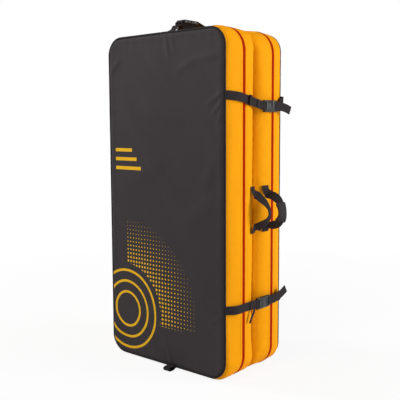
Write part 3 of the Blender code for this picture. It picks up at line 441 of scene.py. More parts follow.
def woven(name, colour, pitch, roughness, stitches=(), ink=None, sheen=0.03):
    """Coated pack cloth: plain weave, slubs, faint wear, and stitched lines across its own map."""
    finish = Finish(name, roughness, Sheen_Weight=sheen, Sheen_Roughness=0.5, Specular_IOR_Level=0.1)
    across, along = finish.cloth()
    threads = weave_height(across, along, pitch)
    slub = finish.clouds(520.0, 2.0, 0.6)
    patches = finish.clouds(5.0, 3.0, 0.55)
    tone = threads * 0.22 + slub * 0.5 + patches * 0.28
    shown = finish.tint(tone, colour, 0.82, 1.20)
    gloss = patches * 0.10 + slub * 0.08 + (roughness - 0.09)
    height = threads * 0.7 + slub * 0.3
    if ink is not None:
        mask = ink(finish)
        inked = finish.tint(tone, bpy.context.scene.crash_pad_cover.print_colour, 0.90, 1.06)
        shown = finish.mix(mask, shown, inked)
        gloss = gloss - mask * 0.18
    for place, axis in stitches:
        line, run = (across, along) if axis == "across" else (along, across)
        thread = stitch_mask(line, run, place)
        groove = (line - place).of("ABSOLUTE").ramp(0.0022, 0.0)
        shown = finish.mix(thread, shown, shade(colour, 0.55))
        height = height - groove * 1.6 + thread * 1.4
    bumped = finish.bump(height, WEAVE_RELIEF)
    return finish.set(Base_Color=shown, Roughness=gloss, Normal=bumped)


def ring_ink(x, z, centre_x, centre_z, radius, half):
    """A round line of ink about a centre."""
    far = ((x - centre_x).of("POWER", 2.0) + (z - centre_z).of("POWER", 2.0)).of("SQRT")
    return far, (far - radius).of("ABSOLUTE").ramp(half, half - INK_EDGE)


def bar_ink(x, z, left, right, height, half):
    """A level bar of ink with square ends."""
    reach = (right - left) / 2
    wide = (x - (left + right) / 2).of("ABSOLUTE").ramp(reach, reach - INK_EDGE)
    return wide * (z - height).of("ABSOLUTE").ramp(half, half - INK_EDGE)


def front_ink(finish):
    """Plain rings and dots low on the face, and three bars at its left."""
    x, _, z = finish.place()
    corner_x = MIDDLE_X - PAD_WIDTH / 2 + RING_X
    corner_z = RING_Z
    mask = 0.0
    for radius in RING_RADII:
        far, ring = ring_ink(x, z, corner_x, corner_z, radius, RING_HALF)
        mask = ring + mask
    cell_x = ((x - corner_x) / DOT_PITCH).of("FRACT") - 0.5
    cell_z = ((z - corner_z) / DOT_PITCH).of("FRACT") - 0.5
    spot = (cell_x * cell_x + cell_z * cell_z).of("SQRT")
    size = far.ramp(0.15, 0.30, 0.34, 0.06)
    dots = (size - spot).ramp(0.0, 0.06) * (far > 0.148) * (far < 0.29)
    mask = mask + dots * (x > corner_x) * (z > corner_z - 0.03)
    for step in range(3):
        height = 0.66 - BAR_PITCH * step
        mask = mask + bar_ink(x, z, MIDDLE_X - 0.205, MIDDLE_X - 0.130 + 0.02 * step, height, BAR_HALF)
    return mask.of("MINIMUM", 1.0)


def face_cloth(name, ink=None):
    settings = bpy.context.scene.crash_pad_cover
    return woven(name, settings.face_colour, settings.thread, 0.80, ink=ink)


def printed_cloth(name):
    return face_cloth(name, front_ink)


def wall_cloth(name, stitches=((0.0530, "along"), (0.0790, "along"), (0.1215, "along"))):
    settings = bpy.context.scene.crash_pad_cover
    return woven(name, settings.wall_colour, settings.thread, 0.78, stitches, sheen=0.0)


def landing_cloth(name):
    settings = bpy.context.scene.crash_pad_cover
    return woven(name, settings.landing_colour, settings.thread * 1.5, 0.88)


def tape_cloth(name):
    """Fine ribbed tape of the zip, with painted shade darkening it along its coil."""
    settings = bpy.context.scene.crash_pad_zip
    finish = Finish(name, 0.78, Specular_IOR_Level=0.04)
    across, along = finish.cloth()
    ribs = ridges(along, 0.0011)
    slub = finish.clouds(300.0, 2.0)
    # Painted shade: a band along the tape's middle, where the coil lies over it, is picked out to be
    # darkened
    middle = across.of("ABSOLUTE").ramp(0.0028, 0.0012)
    shown = finish.tint(ribs * 0.4 + slub * 0.6, settings.tape_colour, 0.80, 1.18)
    # The painted shade under the coil darkens the tape's colour here
    shown = finish.mix(middle * 0.6, shown, shade(settings.tape_colour, 0.55))
    bumped = finish.bump(ribs * 0.6 + slub * 0.4, 0.0002)
    return finish.set(Base_Color=shown, Roughness=slub * 0.15 + 0.55, Normal=bumped)


def coil_plastic(name):
    """Dark polyester coil, a little polished where the slider runs."""
    settings = bpy.context.scene.crash_pad_zip
    finish = Finish(name, 0.5, Specular_IOR_Level=0.06)
    rub = finish.clouds(60.0, 2.0)
    shown = finish.tint(rub, settings.tape_colour, 0.62, 0.92)
    return finish.set(Base_Color=shown, Roughness=rub * 0.2 + 0.42)


def ribbed_webbing(name):
    """Nylon webbing: ribs across it, a smoother rolled edge with a painted highlight, lint and wear."""
    settings = bpy.context.scene.crash_pad_strap
    finish = Finish(name, 0.74, Sheen_Weight=0.02, Sheen_Roughness=0.45, Specular_IOR_Level=0.10)
    across, along = finish.cloth()
    turn = 2 * math.pi / settings.rib
    ribs = (along * turn + (across * turn * 0.5).of("SINE") * 0.6).of("SINE") * 0.5 + 0.5
    warp = ridges(across, 0.0021)
    # The rolled edge: it smooths the bump, and it also carries a painted highlight
    edge = across.of("ABSOLUTE").ramp(WEBBING_WIDTH / 2 - 0.0016, WEBBING_WIDTH / 2)
    lint = finish.clouds(260.0, 3.0, 0.65)
    tone = ribs * 0.35 + warp * 0.2 + lint * 0.45
    shown = finish.tint(tone, settings.colour, 0.70, 1.55)
    # Painted highlight: the rolled edges are mixed towards a lighter tone of the webbing
    shown = finish.mix(edge * 0.5, shown, shade(settings.colour, 1.9))
    bumped = finish.bump(ribs * 0.7 + warp * 0.3 - edge * 0.3, 0.0003)
    return finish.set(Base_Color=shown, Roughness=lint * 0.2 + 0.62, Normal=bumped)


def binding_cloth(name):
    """Folded tape round an edge, with one stitched line."""
    settings = bpy.context.scene.crash_pad_cover
    finish = Finish(name, 0.74, Sheen_Weight=0.02, Specular_IOR_Level=0.10)
    across, along = finish.cloth()
    ribs = ridges(along, 0.0013)
    lint = finish.clouds(240.0, 3.0)
    thread = stitch_mask(across, along, 0.0)
    tone = ribs * 0.4 + lint * 0.6
    shown = finish.tint(tone, settings.face_colour, 0.28, 0.55)
    shown = finish.mix(thread, shown, shade(settings.face_colour, 0.5))
    bumped = finish.bump(ribs * 0.5 + lint * 0.3 + thread * 1.3, 0.0002)
    return finish.set(Base_Color=shown, Roughness=lint * 0.15 + 0.62, Normal=bumped)


def pad_cloth(name):
    """Open mesh over foam, as on the skin side of a strap: small round holes in rows, darkened with painted
    shade.
    """
    settings = bpy.context.scene.crash_pad_harness
    finish = Finish(name, 0.85, Sheen_Weight=0.2, Sheen_Roughness=0.5, Specular_IOR_Level=0.3)
    across, along = finish.cloth()
    pitch = 0.0034
    row = (along / pitch).of("FLOOR")
    shift = row.of("MODULO", 2.0).of("ABSOLUTE") * 0.5
    cell_a = (across / pitch + shift).of("FRACT") - 0.5
    cell_b = (along / pitch).of("FRACT") - 0.5
    hole_with_shade = (cell_a * cell_a + cell_b * cell_b).of("SQRT").ramp(0.34, 0.20)
    lint = finish.clouds(200.0, 3.0)
    shown = finish.tint(lint, settings.pad_colour, 0.80, 1.35)
    # Painted shade: each hole is mixed towards a dark tone; the same mask presses the holes into the bump
    shown = finish.mix(hole_with_shade * 0.7, shown, shade(settings.pad_colour, 0.35))
    bumped = finish.bump(lint * 0.3 - hole_with_shade, 0.0006)
    return finish.set(Base_Color=shown, Roughness=lint * 0.1 + 0.80, Normal=bumped)


def moulded_plastic(name):
    """Moulded acetal: fine spark texture, softly polished on its high places."""
    settings = bpy.context.scene.crash_pad_hardware
    finish = Finish(name, 0.42, Specular_IOR_Level=0.45)
    grain = finish.clouds(1400.0, 2.0, 0.7)
    rub = finish.clouds(45.0, 3.0)
    shown = finish.tint(rub * 0.6 + grain * 0.4, settings.plastic_colour, 0.85, 1.5)
    bumped = finish.bump(grain, 0.00006)
    return finish.set(Base_Color=shown, Roughness=rub * 0.22 + 0.30, Normal=bumped)


def plated_metal(name):
    """Dark plated zinc with rubbed edges."""
    settings = bpy.context.scene.crash_pad_zip
    finish = Finish(name, 0.36, Metallic=1.0)
    rub = finish.clouds(180.0, 4.0, 0.6)
    shown = finish.tint(rub, settings.metal_colour, 0.75, 2.2)
    bumped = finish.bump(rub, 0.00005)
    return finish.set(Base_Color=shown, Roughness=rub * 0.25 + 0.24, Normal=bumped)


# ---------------------------------------------------------------- mesh helpers


def new_piece(name, mesh_data, skins, smooth=True, levels=0):
    """Makes an object of a finished bmesh, with its place in its mesh."""
    mesh = bpy.data.meshes.new(name)
    mesh_data.to_mesh(mesh)
    mesh_data.free()
    for skin in skins:
        mesh.materials.append(skin)
    if smooth:
        mesh.shade_smooth()
    made = bpy.data.objects.new(name, mesh)
    bpy.context.scene.collection.objects.link(made)
    if levels:
        step = made.modifiers.new("finer", "SUBSURF")
        step.levels = levels
        step.render_levels = levels
    return made


def flat_shaded(made, angle=math.radians(40)):
    made.data.set_sharp_from_angle(angle=angle)


def belongs(made, body, slot, *nodes):
    """Says the body a piece moves with and the solids it replaces; slot, the solids' material it stands for,
    is not used.
    """
    if body:
        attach(made, body)
    if nodes:
        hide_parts(*nodes)


def hardware(name, mesh_data, body, slot, node):
    """A piece of plated metal or moulded plastic, in place of one solid."""
    if slot == "slider_metal":
        skin, angle = made_once(plated_metal), math.radians(40)
    else:
        skin, angle = made_once(moulded_plastic), math.radians(35)
    made = new_piece(name, mesh_data, [skin])
    flat_shaded(made, angle)
    belongs(made, body, slot, node)


def eased(share, table):
    """Value at a share along a table of (share, value), eased between its rows."""
    for (first, low), (last, high) in zip(table, table[1:]):
        if share <= last:
            t = (share - first) / (last - first)
            t = t * t * (3 - 2 * t)
            return low + (high - low) * t
    return table[-1][1]


def smooth_path(points, spacing):
    """Points along a smooth curve through the given ones, about spacing apart."""
    points = [Vector(point) for point in points]
    line = [points[0] * 2 - points[1], *points, points[-1] * 2 - points[-2]]
    path = [points[0]]
    for before, start, end, after in zip(line, line[1:], line[2:], line[3:]):
        far = (end - start).length
        handle_a = start + (end - before).normalized() * far / 3
        handle_b = end - (after - start).normalized() * far / 3
        steps = max(1, round(far / spacing))
        path += interpolate_bezier(start, handle_a, handle_b, end, steps + 1)[1:]
    return path


def tangents(path, closed=False):
    """Direction of a path at each of its points."""
    last = len(path) - 1
    found = []
    for index in range(len(path)):
        before = path[index - 1] if index or closed else path[0]
        after = path[(index + 1) % len(path)] if index < last or closed else path[last]
        found.append((after - before).normalized())
    return found


def band_section(width, thickness):
    """Points round a flat woven band with rolled edges: (across, out)."""
    half, lift = width / 2, thickness / 2
    inner, low = half - lift * 1.2, lift * 0.4
    top = [(-inner + 2 * inner * step / BAND_STEPS, lift) for step in range(BAND_STEPS + 1)]
    under = [(across, -out) for across, out in reversed(top)]
    return [(-half, low), *top, (half, low), (half, -low), *under, (-half, -low)]


def round_section(radius, steps=12):
    """Points round a tube."""
    turns = [2 * math.pi * step / steps for step in range(steps)]
    return [(radius * math.cos(turn), radius * math.sin(turn)) for turn in turns]


def soft_section(half, lift, powers, steps):
    """Points round a flattened tube: (across, out). Lower powers make its sides flatter."""
    ring = []
    for step in range(steps):
        turn = 2 * math.pi * step / steps
        c, s = math.cos(turn), math.sin(turn)
        ring.append((
            half * math.copysign(abs(c) ** powers[0], c), lift * math.copysign(abs(s) ** powers[1], s),
        ))
    return ring


def padded_section(width, thickness):
    """Points round a soft pad that lies on a face: flat under, crowned over."""
    half = width / 2
    over = []
    for step in range(PAD_STEPS + 1):
        share = -1 + 2 * step / PAD_STEPS
        over.append((half * share, thickness * (0.28 + 0.72 * (1 - abs(share) ** 3.2) ** 0.6)))
    under = [(half * share, 0.0) for share in (1.0, 0.5, 0.0, -0.5, -1.0)]
    return over + under


def sweep(path, acrosses, sections, closed=False):
    """Extrudes a closed section along a path. Its map is (across, along) in metres."""
    mesh_data = bmesh.new()
    map_layer = mesh_data.loops.layers.uv.new("cloth")
    across_of = mesh_data.verts.layers.float.new("across")
    along_of = mesh_data.verts.layers.float.new("along")
    ways = tangents(path, closed)
    stations = list(zip(path, ways, acrosses, sections))
    if closed:
        stations.append(stations[0])
    along = 0.0
    ring, edges = [], []
    for index, (point, way, across, section) in enumerate(stations):
        side = (across - way * across.dot(way)).normalized()
        out = side.cross(way).normalized()
        if index:
            along += (point - stations[index - 1][0]).length
            grown = bmesh.ops.extrude_edge_only(mesh_data, edges=edges)["geom"]
            fresh = {item for item in grown if isinstance(item, bmesh.types.BMVert)}
            ring = [
                next(edge.other_vert(vert) for edge in vert.link_edges if edge.other_vert(vert) in fresh)
                for vert in ring
            ]
        else:
            ring = [mesh_data.verts.new(point) for _ in section]
        for vert, (a, b) in zip(ring, section):
            vert.co = point + side * a + out * b
            vert[across_of] = a
            vert[along_of] = along
        find_or_make = mesh_data.edges.get if index else mesh_data.edges.new
        edges = [find_or_make(pair) for pair in zip(ring, ring[1:] + ring[:1])]
    if not closed:
        rims = [edge for edge in mesh_data.edges if edge.is_boundary]
        bmesh.ops.holes_fill(mesh_data, edges=rims, sides=0)
    for face in mesh_data.faces:
        for loop in face.loops:
            loop[map_layer].uv = (loop.vert[across_of], loop.vert[along_of])
    if closed:
        bmesh.ops.remove_doubles(mesh_data, verts=mesh_data.verts, dist=0.00001)
    bmesh.ops.recalc_face_normals(mesh_data, faces=mesh_data.faces)
    layers = mesh_data.verts.layers.float
    for word in ("across", "along"):
        layers.remove(layers[word])
    return mesh_data


def strap(
    name, points, across, body, *nodes, width=WEBBING_WIDTH, thickness=WEBBING_THICKNESS, folded=1.0,
    tilts=None,
):
    """A webbing strap along a smooth line, in place of the solids that nodes name. Folded is its width in
    the middle, as a share of its ends'; tilts turn its across way about X, as (share, angle)."""
    settings = bpy.context.scene.crash_pad_strap
    path = smooth_path(points, settings.step)
    sections, acrosses = [], []
    for index in range(len(path)):
        share = index / (len(path) - 1)
        tuck = eased(abs(2 * share - 1), ((0, folded), (0.2, folded), (0.55, 1.0), (1, 1.0)))
        sections.append(band_section(width * tuck, thickness / tuck ** 1.5))
        tilt = eased(share, tilts) if tilts else 0.0
        acrosses.append(Matrix.Rotation(tilt, 3, "X") @ Vector(across))
    mesh_data = sweep(path, acrosses, sections)
    made = new_piece(name, mesh_data, [made_once(ribbed_webbing)])
    flat_shaded(made, math.radians(50))
    belongs(made, body, "webbing", *nodes)
    return made


def round_edges(mesh_data, edges, radius, segments=2, clamped=False):
    bmesh.ops.bevel(
        mesh_data, geom=edges, offset=radius, offset_type="OFFSET", affect="EDGES", segments=segments,
        profile=0.5, material=-1, clamp_overlap=clamped,
    )


def plain_block(size):
    """A box about the origin."""
    mesh_data = bmesh.new()
    bmesh.ops.create_cube(mesh_data, size=1.0)
    bmesh.ops.scale(mesh_data, vec=Vector(size), verts=mesh_data.verts)
    return mesh_data


def block(size, edge, segments=2):
    """A box about the origin with rounded edges."""
    mesh_data = plain_block(size)
    round_edges(mesh_data, mesh_data.edges[:], edge, segments)
    return mesh_data


def map_by_place(mesh_data, place):
    """Gives each corner its place on the cloth, from the place of its point."""
    map_layer = mesh_data.loops.layers.uv.new("cloth")
    for face in mesh_data.faces:
        for loop in face.loops:
            loop[map_layer].uv = place(loop.vert.co)


def add_to(mesh_data, other, matrix):
    """Copies another bmesh into this one, placed by a matrix."""
    bmesh.ops.transform(other, matrix=matrix, verts=other.verts)
    part = bpy.data.meshes.new("part")
    other.to_mesh(part)
    other.free()
    mesh_data.from_mesh(part)
    bpy.data.meshes.remove(part)


def node_copy(node, edge):
    """A merged copy of a solid's mesh with its sharp edges rounded."""
    mesh_data = bmesh.new()
    mesh_data.from_mesh(frame["nodes"][node].data)
    bmesh.ops.remove_doubles(mesh_data, verts=mesh_data.verts, dist=0.000002)
    bmesh.ops.dissolve_limit(
        mesh_data, angle_limit=math.radians(1), verts=mesh_data.verts, edges=mesh_data.edges,
    )
    sharp = [
        item for item in mesh_data.edges
        if item.is_manifold and item.calc_face_angle(0.0) > math.radians(30)
    ]
    round_edges(mesh_data, sharp, edge, clamped=True)
    return mesh_data


# ---------------------------------------------------------------- covers


def swell_at(depth):
    return max(0.0, 1 - (2 * depth / WALL_END - 1) ** 2)


def edge_drop(depth):
    return LANDING_DROP * max(0.0, 1 - depth / LANDING_DEPTH) ** 2


def side_offset(depth, swell=SIDE_SWELL):
    """How far a wall stands out from the pad's plain outline at one depth."""
    return swell * swell_at(depth) ** 0.75 - edge_drop(depth)


def limits(depth, inset=0.0):
    """(left, right, bottom, top, corner radius) of the wall's outline at one depth."""
    left = MIDDLE_X - PAD_WIDTH / 2 - side_offset(depth, FOLD_SIDE_SWELL) + inset
    right = MIDDLE_X + PAD_WIDTH / 2 + side_offset(depth) - inset
    base = BASE_LIFT * min(1.0, BASE_FLATNESS * swell_at(depth)) - edge_drop(depth)
    bottom = BASE_LIFT - base + inset
    top = TOP_Z + side_offset(depth, TOP_SWELL) - inset
    return left, right, bottom, top, max(CORNER_RADIUS + side_offset(depth) - inset, 0.007)


def outline_path(depth, inset, spacing):
    """Points round the wall at one depth, from the middle of the underside."""
    left, right, bottom, top, radius = limits(depth, inset)
    corners = (
        (right - radius, bottom + radius, -0.5 * math.pi),
        (right - radius, top - radius, 0.0),
        (left + radius, top - radius, 0.5 * math.pi),
        (left + radius, bottom + radius, math.pi),
    )
    knots = [Vector(((left + right) / 2, 0, bottom))]
    turns = max(4, round(0.5 * math.pi * radius / spacing))
    for x, z, start in corners:
        for step in range(turns + 1):
            turn = start + 0.5 * math.pi * step / turns
            knots.append(Vector((x + radius * math.cos(turn), 0, z + radius * math.sin(turn))))
    points = []
    for start, end in zip(knots, knots[1:] + knots[:1]):
        steps = max(1, round((end - start).length / spacing))
        points += [start.lerp(end, step / steps) for step in range(steps)]
    return points


def layer_y(side, depth):
    return FOLD_Y + side * (FOLD_GAP / 2 + depth)


def rounded_corner(x, z, box):
    """Moves a point of a rectangle to its place in the rectangle with round corners."""
    left, right, bottom, top, radius = box
    centre_x = min(max(x, left + radius), right - radius)
    centre_z = min(max(z, bottom + radius), top - radius)
    over_x, over_z = x - centre_x, z - centre_z
    if over_x and over_z:
        factor = max(abs(over_x), abs(over_z)) / math.hypot(over_x, over_z)
        return centre_x + over_x * factor, centre_z + over_z * factor
    return x, z


def crown_share(room):
    share = min(max(room, 0.0) / CROWN_REACH, 1.0)
    return 1 - (1 - share) ** 2


def ring_depth(share):
    """Depth of a wall's ring, by its share of the rings."""
    ring = share * (len(WALL_DEPTHS) - 1)
    low = min(int(ring), len(WALL_DEPTHS) - 2)
    return WALL_DEPTHS[low] + (WALL_DEPTHS[low + 1] - WALL_DEPTHS[low]) * (ring - low)


def near_ring(depth, rings):
    return min(abs(depth - ring) for ring in rings) < 0.0004


def cover_point(side, across, share, up, puff):
    """Place of a cover's point: across and up from 0 to 1, and its share of the wall's rings."""
    depth = ring_depth(share)
    on_wall = across in (0.0, 1.0) or up in (0.0, 1.0)
    inset = max(depth - WALL_END, 0.0)
    if on_wall and near_ring(depth, ZIP_RINGS):
        inset = 0.0019
    if on_wall and near_ring(depth, LIP_RINGS):
        inset = -0.0004
    box = limits(depth, inset)
    left, right, bottom, top, _ = box
    flat_x = left + (right - left) * across
    flat_z = bottom + (top - bottom) * up
    x, z = rounded_corner(flat_x, flat_z, box)
    if not on_wall:
        crown = crown_share(min(flat_x - left, right - flat_x))
        crown *= crown_share(min(flat_z - bottom, top - flat_z))
        if share == 1.0:
            depth = LAYER_THICKNESS + (FACE_CROWN - puff) * crown
        else:
            depth = -(LANDING_CROWN - puff / 3) * crown
    return Vector((x, layer_y(side, depth), z))


def cut_block(columns, rows, rings):
    """A unit block cut into an even grid on all its faces."""
    mesh_data = bmesh.new()
    bmesh.ops.create_cube(mesh_data, size=1.0)
    bmesh.ops.translate(mesh_data, vec=(0.5, 0.5, 0.5), verts=mesh_data.verts)
    for axis, count in ((0, columns), (1, rings), (2, rows)):
        along = [
            edge for edge in mesh_data.edges
            if abs(edge.verts[0].co[axis] - edge.verts[1].co[axis]) > 0.5
        ]
        bmesh.ops.subdivide_edges(mesh_data, edges=along, cuts=count - 1, use_grid_fill=True)
    return mesh_data


def wall_run(x, z, box, flat):
    """How far a wall point is round the layer, from the underside's left corner."""
    left, right, bottom, top, _ = box
    if flat == "under":
        return x - left
    if flat == "right":
        return (right - left) + (z - bottom)
    if flat == "top":
        return (right - left) + (top - bottom) + (right - x)
    return 2 * (right - left) + (top - bottom) + (top - z)


def cover_mesh(side):
    """One layer's cover as a closed grid: outer face, wall and landing face."""
    settings = bpy.context.scene.crash_pad_cover
    mesh_data = cut_block(settings.columns, settings.rows, len(WALL_DEPTHS) - 1)
    map_layer = mesh_data.loops.layers.uv.new("cloth")
    box = limits(ZIP_DEPTH)
    left, right, bottom, top, _ = box
    for vert in mesh_data.verts:
        vert.co = [round(value, 6) for value in vert.co]
    for face in mesh_data.faces:
        middle = face.calc_center_median()
        flat = None
        for axis, low, high in ((0, "left", "right"), (2, "under", "top")):
            if middle[axis] < 0.00001:
                flat = low
            if middle[axis] > 0.99999:
                flat = high
        face.material_index = 1
        if flat is None:
            face.material_index = 0 if middle.y > 0.5 else 2
        for loop in face.loops:
            across, share, up = loop.vert.co
            x = left + (right - left) * across
            z = bottom + (top - bottom) * up
            if flat is None:
                loop[map_layer].uv = (x, z)
            else:
                loop[map_layer].uv = (wall_run(x, z, box, flat), ring_depth(share))
    for vert in mesh_data.verts:
        vert.co = cover_point(side, *vert.co, settings.puff)
    bmesh.ops.recalc_face_normals(mesh_data, faces=mesh_data.faces)
    return mesh_data


def wall_place(point, side):
    """Depth of a cover's point, and its room to the nearest side and to the nearest end."""
    depth = side * (point.y - FOLD_Y) - FOLD_GAP / 2
    left, right, bottom, top, _ = limits(min(max(depth, 0.0), LAYER_THICKNESS))
    return depth, min(point.x - left, right - point.x), min(point.z - bottom, top - point.z)


def held_points(made, side):
    """Points of a cover that its seams, its zip and the floor hold in place."""
    held = []
    for vert in made.data.vertices:
        depth, *rooms = wall_place(vert.co, side)
        room = min(rooms)
        near_zip = abs(depth - ZIP_DEPTH) < HELD_BY_ZIP and room < HELD_ROOM
        near_binding = 0.1215 < depth < LAYER_THICKNESS + 0.0008 and room < HELD_ROOM
        near_landing = depth < HELD_LOW and room < 0.012
        if near_zip or near_binding or near_landing or vert.co.z < HELD_LOW:
            held.append(vert.index)
    return held


def blow_up(made, side, pressure, most):
    """Fills the cover with a light pressure between its seams. No point goes further than the most."""
    held = made.vertex_groups.new(name="held")
    held.add(held_points(made, side), 1.0, "REPLACE")
    start = [vert.co.copy() for vert in made.data.vertices]
    step = made.modifiers.new("cloth", "CLOTH")
    cloth = step.settings
    cloth.quality = 4
    cloth.mass = 0.25
    cloth.tension_stiffness = 18
    cloth.compression_stiffness = 18
    cloth.shear_stiffness = 6
    cloth.bending_stiffness = 0.6
    cloth.shrink_min = -0.004
    cloth.use_pressure = True
    cloth.uniform_pressure_force = pressure
    cloth.vertex_group_mass = "held"
    cloth.effector_weights.gravity = 0.0
    step.collision_settings.use_collision = False
    for moment in range(1, CLOTH_MOMENTS + 1):
        bpy.context.scene.frame_set(moment)
    shapes = bpy.context.evaluated_depsgraph_get()
    blown = made.evaluated_get(shapes).data
    moved = [vert.co.copy() for vert in blown.vertices]
    made.modifiers.remove(step)
    made.vertex_groups.remove(held)
    for vert, before, after in zip(made.data.vertices, start, moved):
        shift = after - before
        far = shift.length
        if far > 0.0:
            shift *= most * math.tanh(far / most) / far
        vert.co = before + shift
    bpy.context.scene.frame_set(1)


def make_finer(made):
    """Splits each face of a piece in four, rounded as a subdivision surface."""
    finer = made.modifiers.new("finer", "SUBSURF")
    finer.levels = 1
    finer.render_levels = 1
    shapes = bpy.context.evaluated_depsgraph_get()
    rough = made.data
    made.data = bpy.data.meshes.new_from_object(made.evaluated_get(shapes))
    made.data.name = made.name
    made.modifiers.remove(finer)
    bpy.data.meshes.remove(rough)


def fold_depth(x, z, folds):
    """Depth of the pulled folds at a place on a face."""
    depth = 0.0
    for start, end, width, most in folds:
        way = Vector(end) - Vector(start)
        from_start = Vector((x, z)) - Vector(start)
        share = from_start.dot(way) / way.length_squared
        if -0.2 < share < 1.2:
            off = (from_start - way * share).length
            depth += most * math.exp(-(off / width) ** 2) * math.sin(math.pi * (share + 0.2) / 1.4)
    return depth


def loosen(made, side, height):
    """Presses soft folds into the cover, never out of it: broad dents, and short puckers at its seams."""
    normals = [vert.normal.copy() for vert in made.data.vertices]
    for vert, normal in zip(made.data.vertices, normals):
        depth, room_x, room_z = wall_place(vert.co, side)
        room = max(min(room_x, room_z), 0.0)
        run = vert.co.z if room_x < room_z else vert.co.x
        on_face = depth > LAYER_THICKNESS - 0.002
        place = vert.co + Vector((0, 3.0 * side, 0))
        broad = noise.noise(Vector((place.x * 7, place.y * 9, place.z * 4.2)))
        long = noise.noise(Vector((place.x * 13 + place.z * 9, place.y * 16, place.z * 5 - place.x * 4)))
        if on_face:
            edge = math.exp(-room / PUCKER_REACH) * min(room / 0.010, 1.0)
            pucker = math.sin(run * FACE_PUCKERS + 3 * noise.noise(place * 6)) * edge
            dent = 0.55 * (broad - 0.5) + 0.35 * min(long, 0.0) * 2 + 0.12 * (pucker - edge)
            dent *= min(room / 0.02, 1.0) * (1.0 if side < 0 else 0.5)
            if side < 0:
                pulled = fold_depth(vert.co.x, vert.co.z, FRONT_FOLDS)
                dent -= 1.5 * pulled * min(room / 0.006, 1.0) / height
        else:
            zip_room = abs(depth - ZIP_DEPTH) - ZIP_CLEAR
            seam_room = min(zip_room, WALL_END - depth)
            if zip_room < 0 or depth < HELD_LOW or vert.co.z < HELD_LOW:
                continue
            hold = min(max(seam_room, 0.0) / SEAM_REACH, 1.0)
            pucker = math.sin(run * WALL_PUCKERS + 4 * noise.noise(place * 5))
            dent = hold * (0.45 * (broad - 0.5) + 0.06 * (pucker - 1)) + 0.3 * hold * min(long, 0.0)
        vert.co += normal * height * min(dent, 0.0)


def keep_off_floor(made):
    for vert in made.data.vertices:
        vert.co.z = max(vert.co.z, FLOOR_GAP)


def cover(prefix, side):
    """One layer's cover, which also stands for the foams inside it."""
    settings = bpy.context.scene.crash_pad_cover
    face = made_once(printed_cloth) if side < 0 else made_once(face_cloth)
    skins = [face, made_once(wall_cloth), made_once(landing_cloth)]
    made = new_piece(f"{prefix}_cover", cover_mesh(side), skins)
    blow_up(made, side, settings.pressure, settings.puff)
    make_finer(made)
    loosen(made, side, settings.slack)
    keep_off_floor(made)
    names = (
        "face_panel", "outer_gusset", "inner_gusset", "landing_panel", "landing_foam", "foam_core",
        "base_foam",
    )
    belongs(made, f"{prefix}_pad", "orange_fabric", *[f"{prefix}_{name}" for name in names])


# ---------------------------------------------------------------- binding and zip


def wall_stations(side, depth, inset, spacing):
    """A closed path round a layer's wall."""
    y = layer_y(side, depth)
    return [Vector((point.x, y, point.z)) for point in outline_path(depth, inset, spacing)]


def edge_binding(prefix, side):
    """Dark tape folded round the seam of the outer face, with the slight waves of a sewn edge."""
    path = wall_stations(side, LAYER_THICKNESS - BINDING_RADIUS, BINDING_RADIUS, 0.006)
    sections = []
    for point in path:
        wave = 1 + 0.06 * noise.noise(point * 70)
        sections.append(round_section(BINDING_RADIUS * wave))
    mesh_data = sweep(path, [Vector((0, side, 0))] * len(path), sections, closed=True)
    made = new_piece(f"{prefix}_piping", mesh_data, [made_once(binding_cloth)])
    belongs(made, f"{prefix}_pad", "dark_fabric", f"{prefix}_edge_binding")


def zip_section():
    """Two tapes that meet under the coil: (across, out)."""
    half = ZIP_HALF
    over = [(-half, -0.0003), (-half * 0.85, 0.0), (-half * 0.35, 0.0), (-half * 0.12, -0.0004),
            (half * 0.12, -0.0004), (half * 0.35, 0.0), (half * 0.85, 0.0), (half, -0.0003)]
    under = [(half, -0.0014), (0.0, -0.0014), (-half, -0.0014)]
    return over + under


def coil_row(pitch, count):
    """The coil's turns in a straight row along X."""
    coil = bmesh.new()
    shape = Matrix.Rotation(math.radians(14), 4, "Z") @ Matrix.Diagonal((pitch * 0.36, 0.0022, 0.0007, 1))
    bmesh.ops.create_uvsphere(coil, u_segments=6, v_segments=4, radius=1.0, matrix=shape)
    made = 1
    while made < count:
        more = min(made, count - made)
        first = [face for face in coil.faces if face.calc_center_median().x < (more - 0.5) * pitch]
        copied = bmesh.ops.duplicate(coil, geom=first)["geom"]
        fresh = [item for item in copied if isinstance(item, bmesh.types.BMVert)]
        bmesh.ops.translate(coil, vec=(made * pitch, 0, 0), verts=fresh)
        made += more
    return coil


def zip_line(prefix, side):
    """The zip's tape with its coil, all round the layer."""
    settings = bpy.context.scene.crash_pad_zip
    path = wall_stations(side, ZIP_DEPTH, 0.0, 0.008)
    mesh_data = sweep(path, [Vector((0, 1, 0))] * len(path), [zip_section()] * len(path), closed=True)
    tape = new_piece(f"{prefix}_zip_tape", mesh_data, [made_once(tape_cloth)])
    belongs(tape, f"{prefix}_pad", "red_zip_tape", f"{prefix}_zip")
    turns = wall_stations(side, ZIP_DEPTH, 0.0, settings.coil_pitch)
    coil = coil_row(settings.coil_pitch, len(turns))
    ways = tangents(turns, closed=True)
    for vert in coil.verts:
        index = round(vert.co.x / settings.coil_pitch)
        along = ways[index]
        out = Vector((0, 1, 0)).cross(along)
        local = vert.co - Vector((index * settings.coil_pitch, 0, 0))
        vert.co = turns[index] + along * local.x + Vector((0, local.y, 0)) + out * local.z
    bmesh.ops.recalc_face_normals(coil, faces=coil.faces)
    made = new_piece(f"{prefix}_zip_coil", coil, [made_once(coil_plastic)])
    keep_off_floor(made)
    belongs(made, f"{prefix}_pad", "red_zip_tape")


